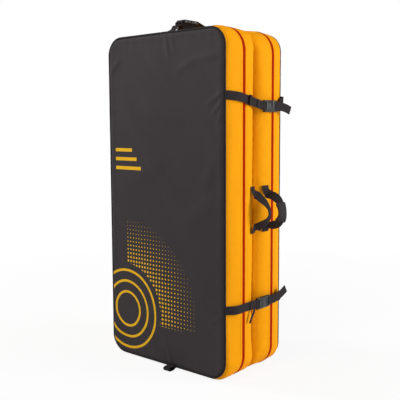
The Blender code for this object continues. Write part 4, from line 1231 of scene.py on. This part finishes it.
def zip_slider(prefix):
    """Slider with its bridge, and a pull with a grip end, in place of the plain solids."""
    node = f"{prefix}_zip_slider"
    hardware(f"{prefix}_slider", node_copy(node, 0.0004), f"{prefix}_slider", "slider_metal", node)
    low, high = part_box(f"{prefix}_zip_pull")
    size = high - low
    tab = block(size, 0.0005)
    for vert in tab.verts:
        share = vert.co.x / size.x + 0.5
        vert.co.y *= 1.0 - 0.28 * math.sin(math.pi * min(share * 1.15, 1.0))
    pull = bmesh.new()
    add_to(pull, tab, Matrix.Translation((low + high) / 2))
    for step in range(4):
        rib = block((0.0008, size.y * 0.62, 0.0004), 0.00015, 1)
        spot = (low.x + 0.0030 + 0.0016 * step, (low.y + high.y) / 2, high.z)
        add_to(pull, rib, Matrix.Translation(spot))
    hardware(f"{prefix}_pull", pull, f"{prefix}_pull", "slider_metal", f"{prefix}_zip_pull")


def fold_hinge():
    """One strip of wall cloth over the fold side, sewn to both layers and bending between them."""
    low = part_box("front_hinge_leaf")[0]
    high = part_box("rear_hinge_leaf")[1]
    mesh_data = bmesh.new()
    bmesh.ops.create_grid(mesh_data, x_segments=40, y_segments=90, size=0.5)
    turn = Matrix.Rotation(math.radians(90), 4, "Y") @ Matrix.Rotation(math.radians(90), 4, "Z")
    bmesh.ops.transform(mesh_data, matrix=turn, verts=mesh_data.verts)
    ys = [vert.co.y for vert in mesh_data.verts]
    zs = [vert.co.z for vert in mesh_data.verts]
    wide, tall = max(ys) - min(ys), max(zs) - min(zs)
    skin_x = (low.x + high.x) / 2
    for vert in mesh_data.verts:
        y = low.y + (high.y - low.y) * (vert.co.y - min(ys)) / wide
        z = low.z + (high.z - low.z) * (vert.co.z - min(zs)) / tall
        wave = 0.0002 * noise.noise(Vector((0, y * 40, z * 14)))
        vert.co = (skin_x + wave, y, z)
    map_by_place(mesh_data, lambda point: (point.y, point.z))
    bmesh.ops.recalc_face_normals(mesh_data, faces=mesh_data.faces)
    bmesh.ops.solidify(mesh_data, geom=mesh_data.faces[:], thickness=0.0012)
    bmesh.ops.translate(mesh_data, vec=(0.0004, 0, 0), verts=mesh_data.verts)
    made = new_piece("fold_hinge_cloth", mesh_data, [made_once(hinge_cloth)])
    flat_shaded(made)
    belongs(made, None, "orange_fabric", "front_hinge_leaf", "rear_hinge_leaf")
    start, end = (skin_x, FOLD_Y - 0.005, 0.5), (skin_x, FOLD_Y + 0.005, 0.5)
    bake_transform(made, "front_pad", "rear_pad", start=start, end=end)


def hinge_cloth(name):
    """Wall cloth with a double line of stitches down each side."""
    low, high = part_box("front_hinge_leaf")[0].y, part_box("rear_hinge_leaf")[1].y
    places = (low + 0.004, low + 0.009, high - 0.009, high - 0.004)
    return wall_cloth(name, [(place, "across") for place in places])


# ---------------------------------------------------------------- closures


def closure_frame(kind):
    """Place of a closure: X out from the wall, Y along the strap, Z across it."""
    across = CLOSURES[kind][0]
    if kind == "top":
        turn = Matrix.Rotation(math.radians(-90), 4, "Y")
        return Matrix.Translation((MIDDLE_X + across, FOLD_Y, TOP_Z)) @ turn
    return Matrix.Translation((MIDDLE_X + PAD_WIDTH / 2, FOLD_Y, across))


def strap_drop(along, sag):
    """How far a strap hangs below its ends, most at the crease."""
    share = along / HALF_DEPTH
    return sag * max(0.0, 1 - share * share)


def front_drop(kind, along):
    """How far the front webbing has come down, from its seam to the buckle's bar."""
    _, sag, rise, mouth, _, _ = CLOSURES[kind]
    seam = ANCHOR_INSET - HALF_DEPTH
    high = strap_drop(seam, sag) - rise
    share = min(max((along - seam) / (mouth - HOUSING_LENGTH - seam), 0.0), 1.0)
    return high + (strap_drop(mouth, sag) - high) * share ** HANG_POWER


def run_points(kind, bar_end, way):
    """A strap from its seam (way -1 front, 1 rear) to just before the buckle's bar."""
    _, sag, rise, mouth, lift, _ = CLOSURES[kind]
    swell = TOP_SWELL if kind == "top" else SIDE_SWELL
    half = WEBBING_THICKNESS / 2
    seam = way * (HALF_DEPTH - ANCHOR_INSET)
    sewn = side_offset(LAYER_THICKNESS - ANCHOR_INSET, swell) + half + 2 * FIT_GAP
    wall = swell + half + WEBBING_SLACK
    under = lift - BAR_THICKNESS / 2 - FIT_GAP - half
    near = bar_end + way * (0.006 if kind == "top" and way < 0 else SEWN_TURN)
    low = strap_drop(mouth, sag) if way > 0 else front_drop(kind, near)
    high = strap_drop(seam, sag) - (rise if way < 0 else 0.0)
    tucked = Vector((-half, way * (HALF_DEPTH - BINDING_RADIUS * 1.3), -high))
    points = [tucked, Vector((sewn, seam, -high))]
    for along_share, out_share in LOW_RUN_SHARES if kind == "top" and way > 0 else RUN_SHARES:
        along = seam + (near - seam) * along_share
        drop = strap_drop(along, sag) if way > 0 else front_drop(kind, along)
        points.append(Vector((wall + (under - wall) * out_share, along, -drop)))
    fall = 0.009 if kind == "top" and way > 0 else 0.0
    points.append(Vector((under - fall, near, -low)))
    return points


def turn_points(bar_face, way, lift, drop):
    """Webbing from under a buckle's bar to over it."""
    reach = FIT_GAP + WEBBING_THICKNESS / 2
    height = BAR_THICKNESS / 2 + reach
    turn = bar_face - way * reach
    corners = ((-1, 0.5), (-0.5, -0.25), (0.5, -0.25), (1, 0.5))
    return [Vector((lift + height * up, turn + way * reach * on, -drop)) for up, on in corners]


def front_run(kind):
    """Front webbing, round the housing's bar and sewn back on itself."""
    _, sag, _, mouth, lift, _ = CLOSURES[kind]
    low = strap_drop(mouth, sag)
    face = mouth - HOUSING_LENGTH + BAR_DEPTH
    over = lift + BAR_THICKNESS / 2 + FIT_GAP + WEBBING_THICKNESS / 2
    rest = over - BAR_THICKNESS
    path = run_points(kind, face - BAR_DEPTH, -1) + turn_points(face, -1, lift, low)
    back = [(over, BAR_DEPTH), ((over + rest) / 2, 2 * BAR_DEPTH)]
    if kind == "top":
        back += [(rest - 0.0035, BAR_DEPTH + SEWN_TURN * 0.35)]
    else:
        back += [(rest, BAR_DEPTH + SEWN_TURN / 2), (rest, BAR_DEPTH + SEWN_TURN)]
    for out, far in back:
        path.append(Vector((out, face - far, -front_drop(kind, face - far))))
    return path


def rear_run(kind):
    """Rear webbing, round the tongue's bar, with its free tail."""
    _, sag, _, mouth, lift, (end, out, up) = CLOSURES[kind]
    low = strap_drop(mouth, sag)
    face = mouth + TONGUE_BASE_LENGTH - BAR_DEPTH
    over = lift + BAR_THICKNESS / 2 + FIT_GAP + WEBBING_THICKNESS / 2
    path = run_points(kind, face + BAR_DEPTH, 1) + turn_points(face, 1, lift, low)
    path.append(Vector((over, face + BAR_DEPTH, -low)))
    start = face + 2 * BAR_DEPTH
    for share in TAIL_SHARES:
        bent = share ** 0.6 if kind == "top" else share
        path.append(Vector((over + out * bent, start + (end - start) * share, -low + up * share * share)))
    return path


def closure_straps(kind):
    """Both webbings of a closure; the rear one gives way when its tongue is pulled."""
    place = closure_frame(kind)
    across = place.to_3x3() @ Vector((0, 0, 1))
    path = [place @ point for point in front_run(kind)]
    strap(f"{kind}_closure_front_strap", path, across, "front_pad", f"{kind}_closure_front_webbing")
    path = [place @ point for point in rear_run(kind)]
    rear = strap(f"{kind}_closure_rear_strap", path, across, None, f"{kind}_closure_rear_webbing")
    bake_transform(rear, "rear_pad", f"{kind}_tongue", start=path[1], end=path[5])


def buckle_axes(kind):
    """(out, along, across) of a closure buckle, as unit vectors."""
    if kind == "top":
        return Vector((0, 0, 1)), Vector((0, 1, 0)), Vector((1, 0, 0))
    return Vector((1, 0, 0)), Vector((0, 1, 0)), Vector((0, 0, 1))


def place_on(out, along, across, centre):
    """Where a block goes so that its sides lie along those three ways."""
    turn = Matrix((along, across, out)).transposed().to_4x4()
    return Matrix.Translation(centre) @ turn


def buckle_ribs(mesh_data, out, along, across, centre, count, pitch, length, lift):
    """Raised bars on a buckle's outer side, square to the strap."""
    for step in range(count):
        offset = (step - (count - 1) / 2) * pitch
        bar = block((pitch * 0.45, length, lift), 0.0002, 1)
        add_to(mesh_data, bar, place_on(out, along, across, centre + along * offset))


def closure_buckle(kind):
    """Housing and tongue of a side-release buckle, rounded, with grip bars and a raised panel."""
    settings = bpy.context.scene.crash_pad_hardware
    out, along, across = buckle_axes(kind)
    for part, body in (("housing", "front_pad"), ("tongue", f"{kind}_tongue")):
        node = f"{kind}_closure_{part}"
        low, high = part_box(node)
        middle = (low + high) / 2
        top = middle + out * ((high - low).dot(out) / 2)
        mesh_data = node_copy(node, settings.edge)
        if part == "housing":
            panel = block((0.011, 0.020, 0.0008), 0.00035)
            add_to(mesh_data, panel, place_on(out, along, across, top + along * 0.0075))
            for way in (-1, 1):
                spot = top + along * -0.0035 + across * (way * 0.0118)
                buckle_ribs(mesh_data, out, along, across, spot, 4, 0.0021, 0.0052, 0.0008)
        else:
            end = high.dot(along)
            spot = top + along * (end - 0.0135 - middle.dot(along))
            buckle_ribs(mesh_data, out, along, across, spot, 3, 0.0030, 0.022, 0.0010)
        hardware(f"{kind}_buckle_{part}", mesh_data, body, "buckle_plastic", node)


def folded_end():
    """Spare end of the top closure's front webbing, folded flat and tucked under the housing."""
    low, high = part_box("top_closure_housing")
    x = (low.x + high.x) / 2
    front, back = low.y - 0.004, high.y + 0.006
    floor = TOP_Z + TOP_SWELL + 0.0014
    passes = 7
    rise = (low.z - 0.0016 - floor) / (passes - 1)
    points = []
    for step in range(passes):
        height = floor + rise * step
        inset = 0.0015 * ((step * 2) % 3) - 0.0015 * step
        ends = (front + inset, back - inset) if step % 2 == 0 else (back - inset, front + inset)
        for share in (0.0, 0.3, 0.7, 1.0):
            sway = 0.0005 * math.sin(9 * share + 2 * step)
            points.append(Vector((x, ends[0] + (ends[1] - ends[0]) * share, height + sway)))
        if step < passes - 1:
            turn = 0.0016 if step % 2 == 0 else -0.0016
            points.append(Vector((x, ends[1] + turn, height + rise / 2)))
    strap("top_folded_end", points, (1, 0, 0), "front_pad")


def keeper(kind, along):
    """Elastic band round both layers of the front webbing."""
    place = closure_frame(kind)
    _, _, _, _, lift, _ = CLOSURES[kind]
    centre = Vector((lift - 0.0012, along, -front_drop(kind, along)))
    low = front_drop(kind, along - 0.002) - front_drop(kind, along + 0.002)
    lean = math.atan2(low, 0.004)
    half, deep = WEBBING_WIDTH / 2 + 0.0016, 0.0034
    spin = place @ Matrix.Translation(centre) @ Matrix.Rotation(lean, 4, "X")
    path = [spin @ Vector((out, 0, over)) for over, out in soft_section(half, deep, (0.35, 0.6), 28)]
    across = spin.to_3x3() @ Vector((0, 1, 0))
    mesh_data = sweep(path, [across] * len(path), [band_section(0.010, 0.0014)] * len(path), closed=True)
    made = new_piece(f"{kind}_closure_keeper", mesh_data, [made_once(ribbed_webbing)])
    flat_shaded(made, math.radians(50))
    belongs(made, "front_pad", "webbing")


def hanging_tape():
    """Narrow end of tape that hangs from the lower closure's front webbing."""
    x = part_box("lower_closure_front_webbing")[1].x - 0.0060
    points = (
        (x, -0.0330, 0.2060), (x + 0.0015, -0.0370, 0.1960), (x + 0.0005, -0.0470, 0.1800),
        (x, -0.0560, 0.1650),
    )
    strap("lower_hanging_tape", points, (0, 0.75, -0.6), "front_pad", width=0.009, thickness=0.0014)


def grab_loop():
    """The bight of webbing under the front edge."""
    low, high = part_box("bottom_grab_loop")
    x = (low.x + high.x) / 2
    half = WEBBING_THICKNESS / 2
    seat = FOLD_Y - (FOLD_GAP / 2 + LAYER_THICKNESS) - 0.0035
    tip = low.y + half
    points = (
        (x, seat, 0.0155), (x, seat, 0.0135), (x, seat - 0.003, 0.0120), (x, tip + 0.003, 0.0105),
        (x, tip, 0.0065), (x, tip + 0.003, low.z + half), (x, seat - 0.003, low.z + half),
        (x, seat + 0.004, 0.0048), (x, high.y, 0.0048),
    )
    strap("bottom_loop", points, (1, 0, 0), "front_pad", "bottom_grab_loop")


# ---------------------------------------------------------------- carry handles


def handle_frame(prefix):
    place, lean, _, _ = HANDLES[prefix]
    return Matrix.Translation(place) @ Matrix.Rotation(lean, 4, "Z")


def handle_loop_points(prefix, first, last):
    """Part of the loop, from its lower end (0) to its upper one (1), hanging a little below its middle."""
    _, _, bow, power = HANDLES[prefix]
    half = HANDLE_HALF_SPAN - WEBBING_THICKNESS - FIT_GAP
    points = []
    for step in range(LOOP_STEPS + 1):
        turn = math.pi * (first + (last - first) * step / LOOP_STEPS)
        out = HANDLE_STUB + (bow - HANDLE_STUB) * math.sin(turn) ** power
        points.append(Vector((out, 0, -half * math.cos(turn) - HANDLE_DROOP * math.sin(turn) ** 2)))
    return points


def handle_webbing(prefix):
    """The loop, from inside one sewn end to inside the other."""
    turn = handle_frame(prefix)
    arc = handle_loop_points(prefix, 0.07, 0.93)
    lap, half = HANDLE_STUB - 0.0055, HANDLE_HALF_SPAN
    points = [Vector((lap, 0, -half)), Vector((HANDLE_STUB, 0, 0.0025 - half)), *arc]
    points += [Vector((HANDLE_STUB, 0, half - 0.0025)), Vector((lap, 0, half))]
    strap(
        f"{prefix}_handle_strap", [turn @ point for point in points], turn.to_3x3() @ Vector((0, 1, 0)),
        f"{prefix}_handle", f"{prefix}_handle_webbing", width=HANDLE_WIDTH, folded=0.8, tilts=LOOP_TILTS,
    )


def handle_tabs(prefix):
    """Sewn ends of a handle, flat on the wall and turned out towards the loop."""
    turn = handle_frame(prefix)
    for word, way in (("top", 1), ("bottom", -1)):
        end = way * HANDLE_HALF_SPAN
        points = (
            (0, 0, end + way * (HANDLE_TAB if way > 0 else 0.018)), (0.0010, 0, end + way * 0.0145),
            (0.0045, 0, end + way * 0.0095), (0.0095, 0, end + way * 0.0048), (HANDLE_STUB, 0, end),
        )
        strap(
            f"{prefix}_handle_{word}_end", [turn @ Vector(point) for point in points],
            turn.to_3x3() @ Vector((0, 1, 0)), f"{prefix}_pad", f"{prefix}_handle_{word}_tab",
            width=HANDLE_WIDTH,
            tilts=((0, 0.0), (0.3, 0.0), (0.9, HANDLE_TILT[word]), (1, HANDLE_TILT[word])),
        )


def handle_grip():
    """Padded sleeve sewn round the middle of the rear handle."""
    turn = handle_frame("rear")
    level = turn.to_3x3() @ Vector((0, 1, 0))
    path = [turn @ point for point in handle_loop_points("rear", GRIP_FROM, GRIP_TO)]
    sections, acrosses = [], []
    for index in range(len(path)):
        share = index / (len(path) - 1)
        hem = 1 - 0.10 * math.exp(-((min(share, 1 - share) - 0.07) / 0.03) ** 2)
        sections.append(soft_section(0.017, 0.0037 * hem, (0.45, 0.55), 20))
        tilt = eased(GRIP_FROM + 0.40 * index / (len(path) - 1), LOOP_TILTS)
        acrosses.append(Matrix.Rotation(tilt, 3, "X") @ level)
    mesh_data = sweep(path, acrosses, sections)
    made = new_piece("rear_handle_sleeve", mesh_data, [made_once(sleeve_cloth)], levels=1)
    belongs(made, "rear_handle", "dark_fabric", "rear_handle_grip")


def sleeve_cloth(name):
    settings = bpy.context.scene.crash_pad_cover
    stitches = ((0.0125, "across"), (-0.0125, "across"))
    return woven(name, shade(settings.face_colour, 0.75), settings.thread, 0.80, stitches)


# ---------------------------------------------------------------- harness


def lay_on_back(prefix, path, widths, thicknesses, body, node, across=(1, 0, 0)):
    """A soft pad along a path on the back face, with round tape sewn along both its edges."""
    across = Vector(across)
    sections = [padded_section(width, thick) for width, thick in zip(widths, thicknesses)]
    mesh_data = sweep(path, [across] * len(path), sections)
    if min(vert.co.y for vert in mesh_data.verts) < BACK_SEAT - 0.001:
        for vert in mesh_data.verts:
            vert.co.y = 2 * path[0].y - vert.co.y
        bmesh.ops.recalc_face_normals(mesh_data, faces=mesh_data.faces)
    made = new_piece(f"{prefix}_pad", mesh_data, [made_once(pad_cloth)], levels=1)
    belongs(made, body, "dark_fabric", node)
    radius = bpy.context.scene.crash_pad_harness.edge_radius
    for word, way in (("inner", -1), ("outer", 1)):
        line = [
            point + across * (way * (width / 2 - radius * 0.5)) + Vector((0, radius, 0))
            for point, width in zip(path, widths)
        ]
        mesh_data = sweep(line, [Vector((0, 1, 0))] * len(line), [round_section(radius, 8)] * len(line))
        tape = new_piece(f"{prefix}_{word}_tape", mesh_data, [made_once(binding_cloth)])
        belongs(tape, body, "dark_fabric")


def shoulder_strap(word, way):
    """Padded strap, bowed outwards from the yoke to its ladder lock, with webbing down its middle."""
    node = f"{word}_shoulder_strap"
    low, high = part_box(node)
    path, widths, thicks = [], [], []
    for step in range(49):
        share = step / 48
        bow = eased(share, ((0, 0), (0.2, 0.12), (0.4, 0.75), (0.6, 0.85), (0.85, 1.0), (1, 1)))
        x = MIDDLE_X + way * (SHOULDER_X + SHOULDER_BOW * bow)
        path.append(Vector((x, BACK_SEAT, high.z + (low.z - high.z) * share)))
        wide = eased(share, ((0, 0.8), (0.2, 1.0), (0.6, 1.0), (0.85, 0.85), (1, 0.45)))
        widths.append(SHOULDER_WIDTH * wide)
        thick = eased(share, ((0, 0.45), (0.12, 1.0), (0.9, 1.0), (1, 0.42)))
        thicks.append(SHOULDER_THICKNESS * thick)
    lay_on_back(f"{word}_shoulder", path, widths, thicks, "rear_pad", node)
    top = [point + Vector((0, 0.0137, 0)) for point in path[4:44]]
    strap(f"{word}_shoulder_webbing", top[::3], (1, 0, 0), "rear_pad", thickness=0.0014)


def belt_wing(word, way):
    """Padded half of the waist belt, folded flat against the back."""
    node = f"{word}_belt_wing"
    low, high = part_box(node)
    root = MIDDLE_X + way * BELT_ROOT_X
    path, widths, thicks = [], [], []
    for step in range(25):
        share = step / 24
        path.append(Vector((root + way * BELT_LENGTH * share, BACK_SEAT, (low.z + high.z) / 2)))
        widths.append(BELT_WIDE + (BELT_NARROW - BELT_WIDE) * eased(share, ((0, 0), (1, 1))))
        thick = eased(share, ((0, 0.4), (0.15, 1.0), (0.85, 1.0), (1, 0.45)))
        thicks.append(BELT_THICKNESS * thick)
    lay_on_back(f"{word}_belt", path, widths, thicks, f"{word}_wing", node, (0, 0, 1))


def yoke():
    """Sewn patch that covers the tops of the shoulder straps, with its stitched border."""
    low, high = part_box("yoke_patch")
    size, middle = high - low, (low + high) / 2
    mesh_data = plain_block(size)

    def deep(edge):
        return abs(edge.verts[0].co.y - edge.verts[1].co.y)

    round_edges(mesh_data, [edge for edge in mesh_data.edges if deep(edge) > size.y / 2], 0.006, 4)
    round_edges(mesh_data, [edge for edge in mesh_data.edges if deep(edge) < size.y / 4], 0.0008)
    bmesh.ops.translate(mesh_data, vec=middle, verts=mesh_data.verts)
    map_by_place(mesh_data, lambda point: (point.x - middle.x, point.z - middle.z))
    made = new_piece("yoke_cloth", mesh_data, [made_once(yoke_skin)])
    flat_shaded(made)
    belongs(made, "rear_pad", "dark_fabric", "yoke_patch")


def yoke_skin(name):
    settings = bpy.context.scene.crash_pad_cover
    low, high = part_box("yoke_patch")
    wide, tall = (high.x - low.x) / 2, (high.z - low.z) / 2
    stitches = [
        (wide - 0.004, "across"), (0.004 - wide, "across"), (tall - 0.004, "along"), (0.004 - tall, "along"),
    ]
    return woven(name, shade(settings.face_colour, 0.8), settings.thread, 0.78, stitches)


def haul_loop():
    """Webbing loop above the yoke."""
    low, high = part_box("haul_loop")
    z = (low.z + high.z) / 2
    seat = BACK_SEAT + WEBBING_THICKNESS / 2
    points = [(low.x, seat, z), (MIDDLE_X - HAUL_SEAM, seat, z)]
    for step in range(1, 12):
        turn = math.pi * step / 12
        points.append((MIDDLE_X - HAUL_HALF * math.cos(turn), seat + HAUL_RISE * math.sin(turn), z))
    points += [(MIDDLE_X + HAUL_SEAM, seat, z), (high.x, seat, z)]
    strap("haul_strap", points, (0, 0, 1), "rear_pad", "haul_loop")


def ladder_lock(word):
    """Plastic adjuster at the foot of a shoulder strap."""
    settings = bpy.context.scene.crash_pad_hardware
    node = f"{word}_ladder_lock"
    low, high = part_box(node)
    mesh_data = node_copy(node, settings.edge)
    middle = (low + high) / 2
    for offset in (0.0083, -0.0083):
        bar = block((0.026, 0.0014, 0.0022), 0.0005)
        add_to(mesh_data, bar, Matrix.Translation((middle.x, high.y + FIT_GAP, middle.z + offset)))
    hardware(f"{word}_adjuster", mesh_data, "rear_pad", "buckle_plastic", node)


def lower_strap(word, way):
    """Webbing from a ladder lock to its anchor low on the back."""
    low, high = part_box(f"{word}_lower_webbing")
    seat = BACK_SEAT + WEBBING_THICKNESS / 2
    top = Vector((MIDDLE_X + way * LOCK_X, seat, high.z))
    end = Vector((MIDDLE_X + way * ANCHOR_X, seat, low.z))
    points = [top.lerp(end, share) for share in (0.0, 0.25, 0.5, 0.75, 1.0)]
    strap(f"{word}_lower_strap", points, (1, 0, 0), "rear_pad", f"{word}_lower_webbing")


def belt_buckle():
    """Housing on the right wing and tongue on the left one."""
    settings = bpy.context.scene.crash_pad_hardware
    out, along, across = Vector((0, 1, 0)), Vector((1, 0, 0)), Vector((0, 0, 1))
    for node, body, inwards in (("belt_housing", "right_wing", 0.004), ("belt_tongue", "left_wing", 0.011)):
        low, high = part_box(node)
        mesh_data = node_copy(node, settings.edge)
        spot = Vector(((low.x + high.x) / 2 - inwards, high.y, (low.z + high.z) / 2))
        buckle_ribs(mesh_data, out, along, across, spot, 3, 0.0030, 0.022, 0.0008)
        hardware(f"{node}_shell", mesh_data, body, "buckle_plastic", node)


# ---------------------------------------------------------------- stage


def floor_skin(name):
    """Pale floor that the camera sees nearly white, and that keeps the pad's shadow."""
    settings = bpy.context.scene.crash_pad_stage
    finish = Finish(name, 0.9)
    haze = finish.clouds(1.2, 2.0)
    shown = finish.mix(haze, (0.86, 0.86, 0.86), (0.90, 0.90, 0.90))
    finish.set(Base_Color=shown)
    tree = finish.tree
    light = finish.node("Emission", values={"Color": WHITE, "Strength": 1.0})
    rays, glossy, through = (
        finish.node("LightPath", out=f"Is {word} Ray") for word in ("Camera", "Glossy", "Transmission")
    )
    x, y, _ = finish.place()
    away = (x * x + y * y).of("SQRT")
    far = away.ramp(settings.fade_from, settings.fade_to, settings.floor_white, 1.0)
    seen = (rays + glossy + through).of("MINIMUM", 1.0) * far
    blend = finish.node("MixShader", values={0: seen, 2: light})
    tree.links.new(finish.shader.outputs[0], blend.socket.node.inputs[1])
    output = next(node for node in tree.nodes if node.type == "OUTPUT_MATERIAL")
    tree.links.new(blend.socket, output.inputs["Surface"])
    return finish.material


def floor():
    mesh_data = bmesh.new()
    bmesh.ops.create_grid(mesh_data, x_segments=8, y_segments=8, size=20.0)
    made = new_piece("floor", mesh_data, [made_once(floor_skin)], smooth=False)


def world():
    """Soft light from all round, which the camera sees as plain white."""
    settings = bpy.context.scene.crash_pad_stage
    made = bpy.data.worlds.new("studio")
    bpy.context.scene.world = made
    made.use_nodes = True
    tree = made.node_tree
    plain = tree.nodes["Background"]
    white = tree.nodes.new("ShaderNodeBackground")
    for glow, strength in ((plain, settings.sky), (white, 1.0)):
        glow.inputs["Color"].default_value = WHITE
        glow.inputs["Strength"].default_value = strength
    rays = tree.nodes.new("ShaderNodeLightPath")
    most = tree.nodes.new("ShaderNodeMath")
    most.operation = "MAXIMUM"
    tree.links.new(rays.outputs["Is Camera Ray"], most.inputs[0])
    tree.links.new(rays.outputs["Is Transmission Ray"], most.inputs[1])
    blend = tree.nodes.new("ShaderNodeMixShader")
    tree.links.new(most.outputs[0], blend.inputs[0])
    tree.links.new(plain.outputs[0], blend.inputs[1])
    tree.links.new(white.outputs[0], blend.inputs[2])
    tree.links.new(blend.outputs[0], tree.nodes["World Output"].inputs["Surface"])


def lamp(name, place, target, size, power):
    light = bpy.data.lights.new(name, "AREA")
    light.shape = "RECTANGLE"
    light.size, light.size_y = size
    light.energy = power
    made = bpy.data.objects.new(name, light)
    made.location = place
    made.rotation_euler = (Vector(target) - Vector(place)).to_track_quat("-Z", "Y").to_euler()
    bpy.context.scene.collection.objects.link(made)


def camera():
    """The photo's view."""
    settings = bpy.context.scene.crash_pad_stage
    data = bpy.data.cameras.new("camera")
    data.lens = settings.lens
    data.sensor_width = 36.0
    made = bpy.data.objects.new("camera", data)
    near, rise = math.cos(CAMERA_ELEVATION), math.sin(CAMERA_ELEVATION)
    back = Vector((math.sin(CAMERA_AZIMUTH) * near, -math.cos(CAMERA_AZIMUTH) * near, rise))
    right = Vector((math.cos(CAMERA_AZIMUTH), math.sin(CAMERA_AZIMUTH), 0))
    up = back.cross(right)
    side = right * math.cos(CAMERA_ROLL) + up * math.sin(CAMERA_ROLL)
    over = up * math.cos(CAMERA_ROLL) - right * math.sin(CAMERA_ROLL)
    turn = Matrix((side, over, back)).transposed().to_4x4()
    made.matrix_world = Matrix.Translation(CAMERA_PLACE) @ turn
    bpy.context.scene.collection.objects.link(made)
    bpy.context.scene.camera = made


# ---------------------------------------------------------------- operators


class CRASHPAD_OT_covers(bpy.types.Operator):
    """Builds the two fabric covers with their foam"""

    bl_idname = "crashpad.covers"
    bl_label = "Covers"

    def execute(self, context):
        cover("front", -1)
        cover("rear", 1)
        return {"FINISHED"}


class CRASHPAD_OT_seams(bpy.types.Operator):
    """Builds the edge bindings, the zips and the fold hinge"""

    bl_idname = "crashpad.seams"
    bl_label = "Bindings and zips"

    def execute(self, context):
        for prefix, side in (("front", -1), ("rear", 1)):
            edge_binding(prefix, side)
            zip_line(prefix, side)
            zip_slider(prefix)
        fold_hinge()
        return {"FINISHED"}


class CRASHPAD_OT_closures(bpy.types.Operator):
    """Builds the closure straps, their buckles and the loop under the front edge"""

    bl_idname = "crashpad.closures"
    bl_label = "Closures"

    def execute(self, context):
        for kind in CLOSURES:
            closure_straps(kind)
            closure_buckle(kind)
        folded_end()
        keeper("upper", KEEPER_ALONG)
        hanging_tape()
        grab_loop()
        return {"FINISHED"}


class CRASHPAD_OT_handles(bpy.types.Operator):
    """Builds the two carry handles"""

    bl_idname = "crashpad.handles"
    bl_label = "Carry handles"

    def execute(self, context):
        for prefix in HANDLES:
            handle_webbing(prefix)
            handle_tabs(prefix)
        handle_grip()
        return {"FINISHED"}


class CRASHPAD_OT_harness(bpy.types.Operator):
    """Builds the shoulder straps, the yoke, the haul loop and the waist belt"""

    bl_idname = "crashpad.harness"
    bl_label = "Harness"

    def execute(self, context):
        yoke()
        haul_loop()
        for word, way in (("left", -1), ("right", 1)):
            shoulder_strap(word, way)
            ladder_lock(word)
            lower_strap(word, way)
            belt_wing(word, way)
        belt_buckle()
        return {"FINISHED"}


class CRASHPAD_OT_stage(bpy.types.Operator):
    """Builds the pale floor, the lamps and the camera"""

    bl_idname = "crashpad.stage"
    bl_label = "Stage"

    def execute(self, context):
        settings = context.scene.crash_pad_stage
        floor()
        world()
        for word, (place, target, size) in LAMPS.items():
            lamp(f"{word}_lamp", place, target, size, getattr(settings, word))
        camera()
        context.scene.view_settings.view_transform = "Standard"
        return {"FINISHED"}


class CRASHPAD_PT_panel(bpy.types.Panel):
    bl_label = "Crash pad"
    bl_idname = "CRASHPAD_PT_panel"
    bl_space_type = "VIEW_3D"
    bl_region_type = "UI"
    bl_category = "Crash pad"

    def draw(self, context):
        for group in SETTINGS:
            column = self.layout.column()
            values = getattr(context.scene, group)
            for word in values.__annotations__:
                column.prop(values, word)
        for step in STEPS:
            self.layout.operator(step.bl_idname)


SETTINGS = {
    "crash_pad_cover": CoverSettings,
    "crash_pad_zip": ZipSettings,
    "crash_pad_strap": StrapSettings,
    "crash_pad_hardware": HardwareSettings,
    "crash_pad_harness": HarnessSettings,
    "crash_pad_stage": StageSettings,
}
STEPS = (
    CRASHPAD_OT_covers, CRASHPAD_OT_seams, CRASHPAD_OT_closures, CRASHPAD_OT_handles, CRASHPAD_OT_harness,
    CRASHPAD_OT_stage,
)
CLASSES = (*SETTINGS.values(), *STEPS, CRASHPAD_PT_panel)


def register():
    for item in CLASSES:
        bpy.utils.register_class(item)
    for word, group in SETTINGS.items():
        setattr(bpy.types.Scene, word, PointerProperty(type=group))


def unregister():
    for word in SETTINGS:
        delattr(bpy.types.Scene, word)
    for item in reversed(CLASSES):
        bpy.utils.unregister_class(item)


def main():
    register()
    bpy.ops.crashpad.stage()
    bpy.ops.crashpad.covers()
    bpy.ops.crashpad.seams()
    bpy.ops.crashpad.closures()
    bpy.ops.crashpad.handles()
    bpy.ops.crashpad.harness()


if __name__ == "__main__":
    main()
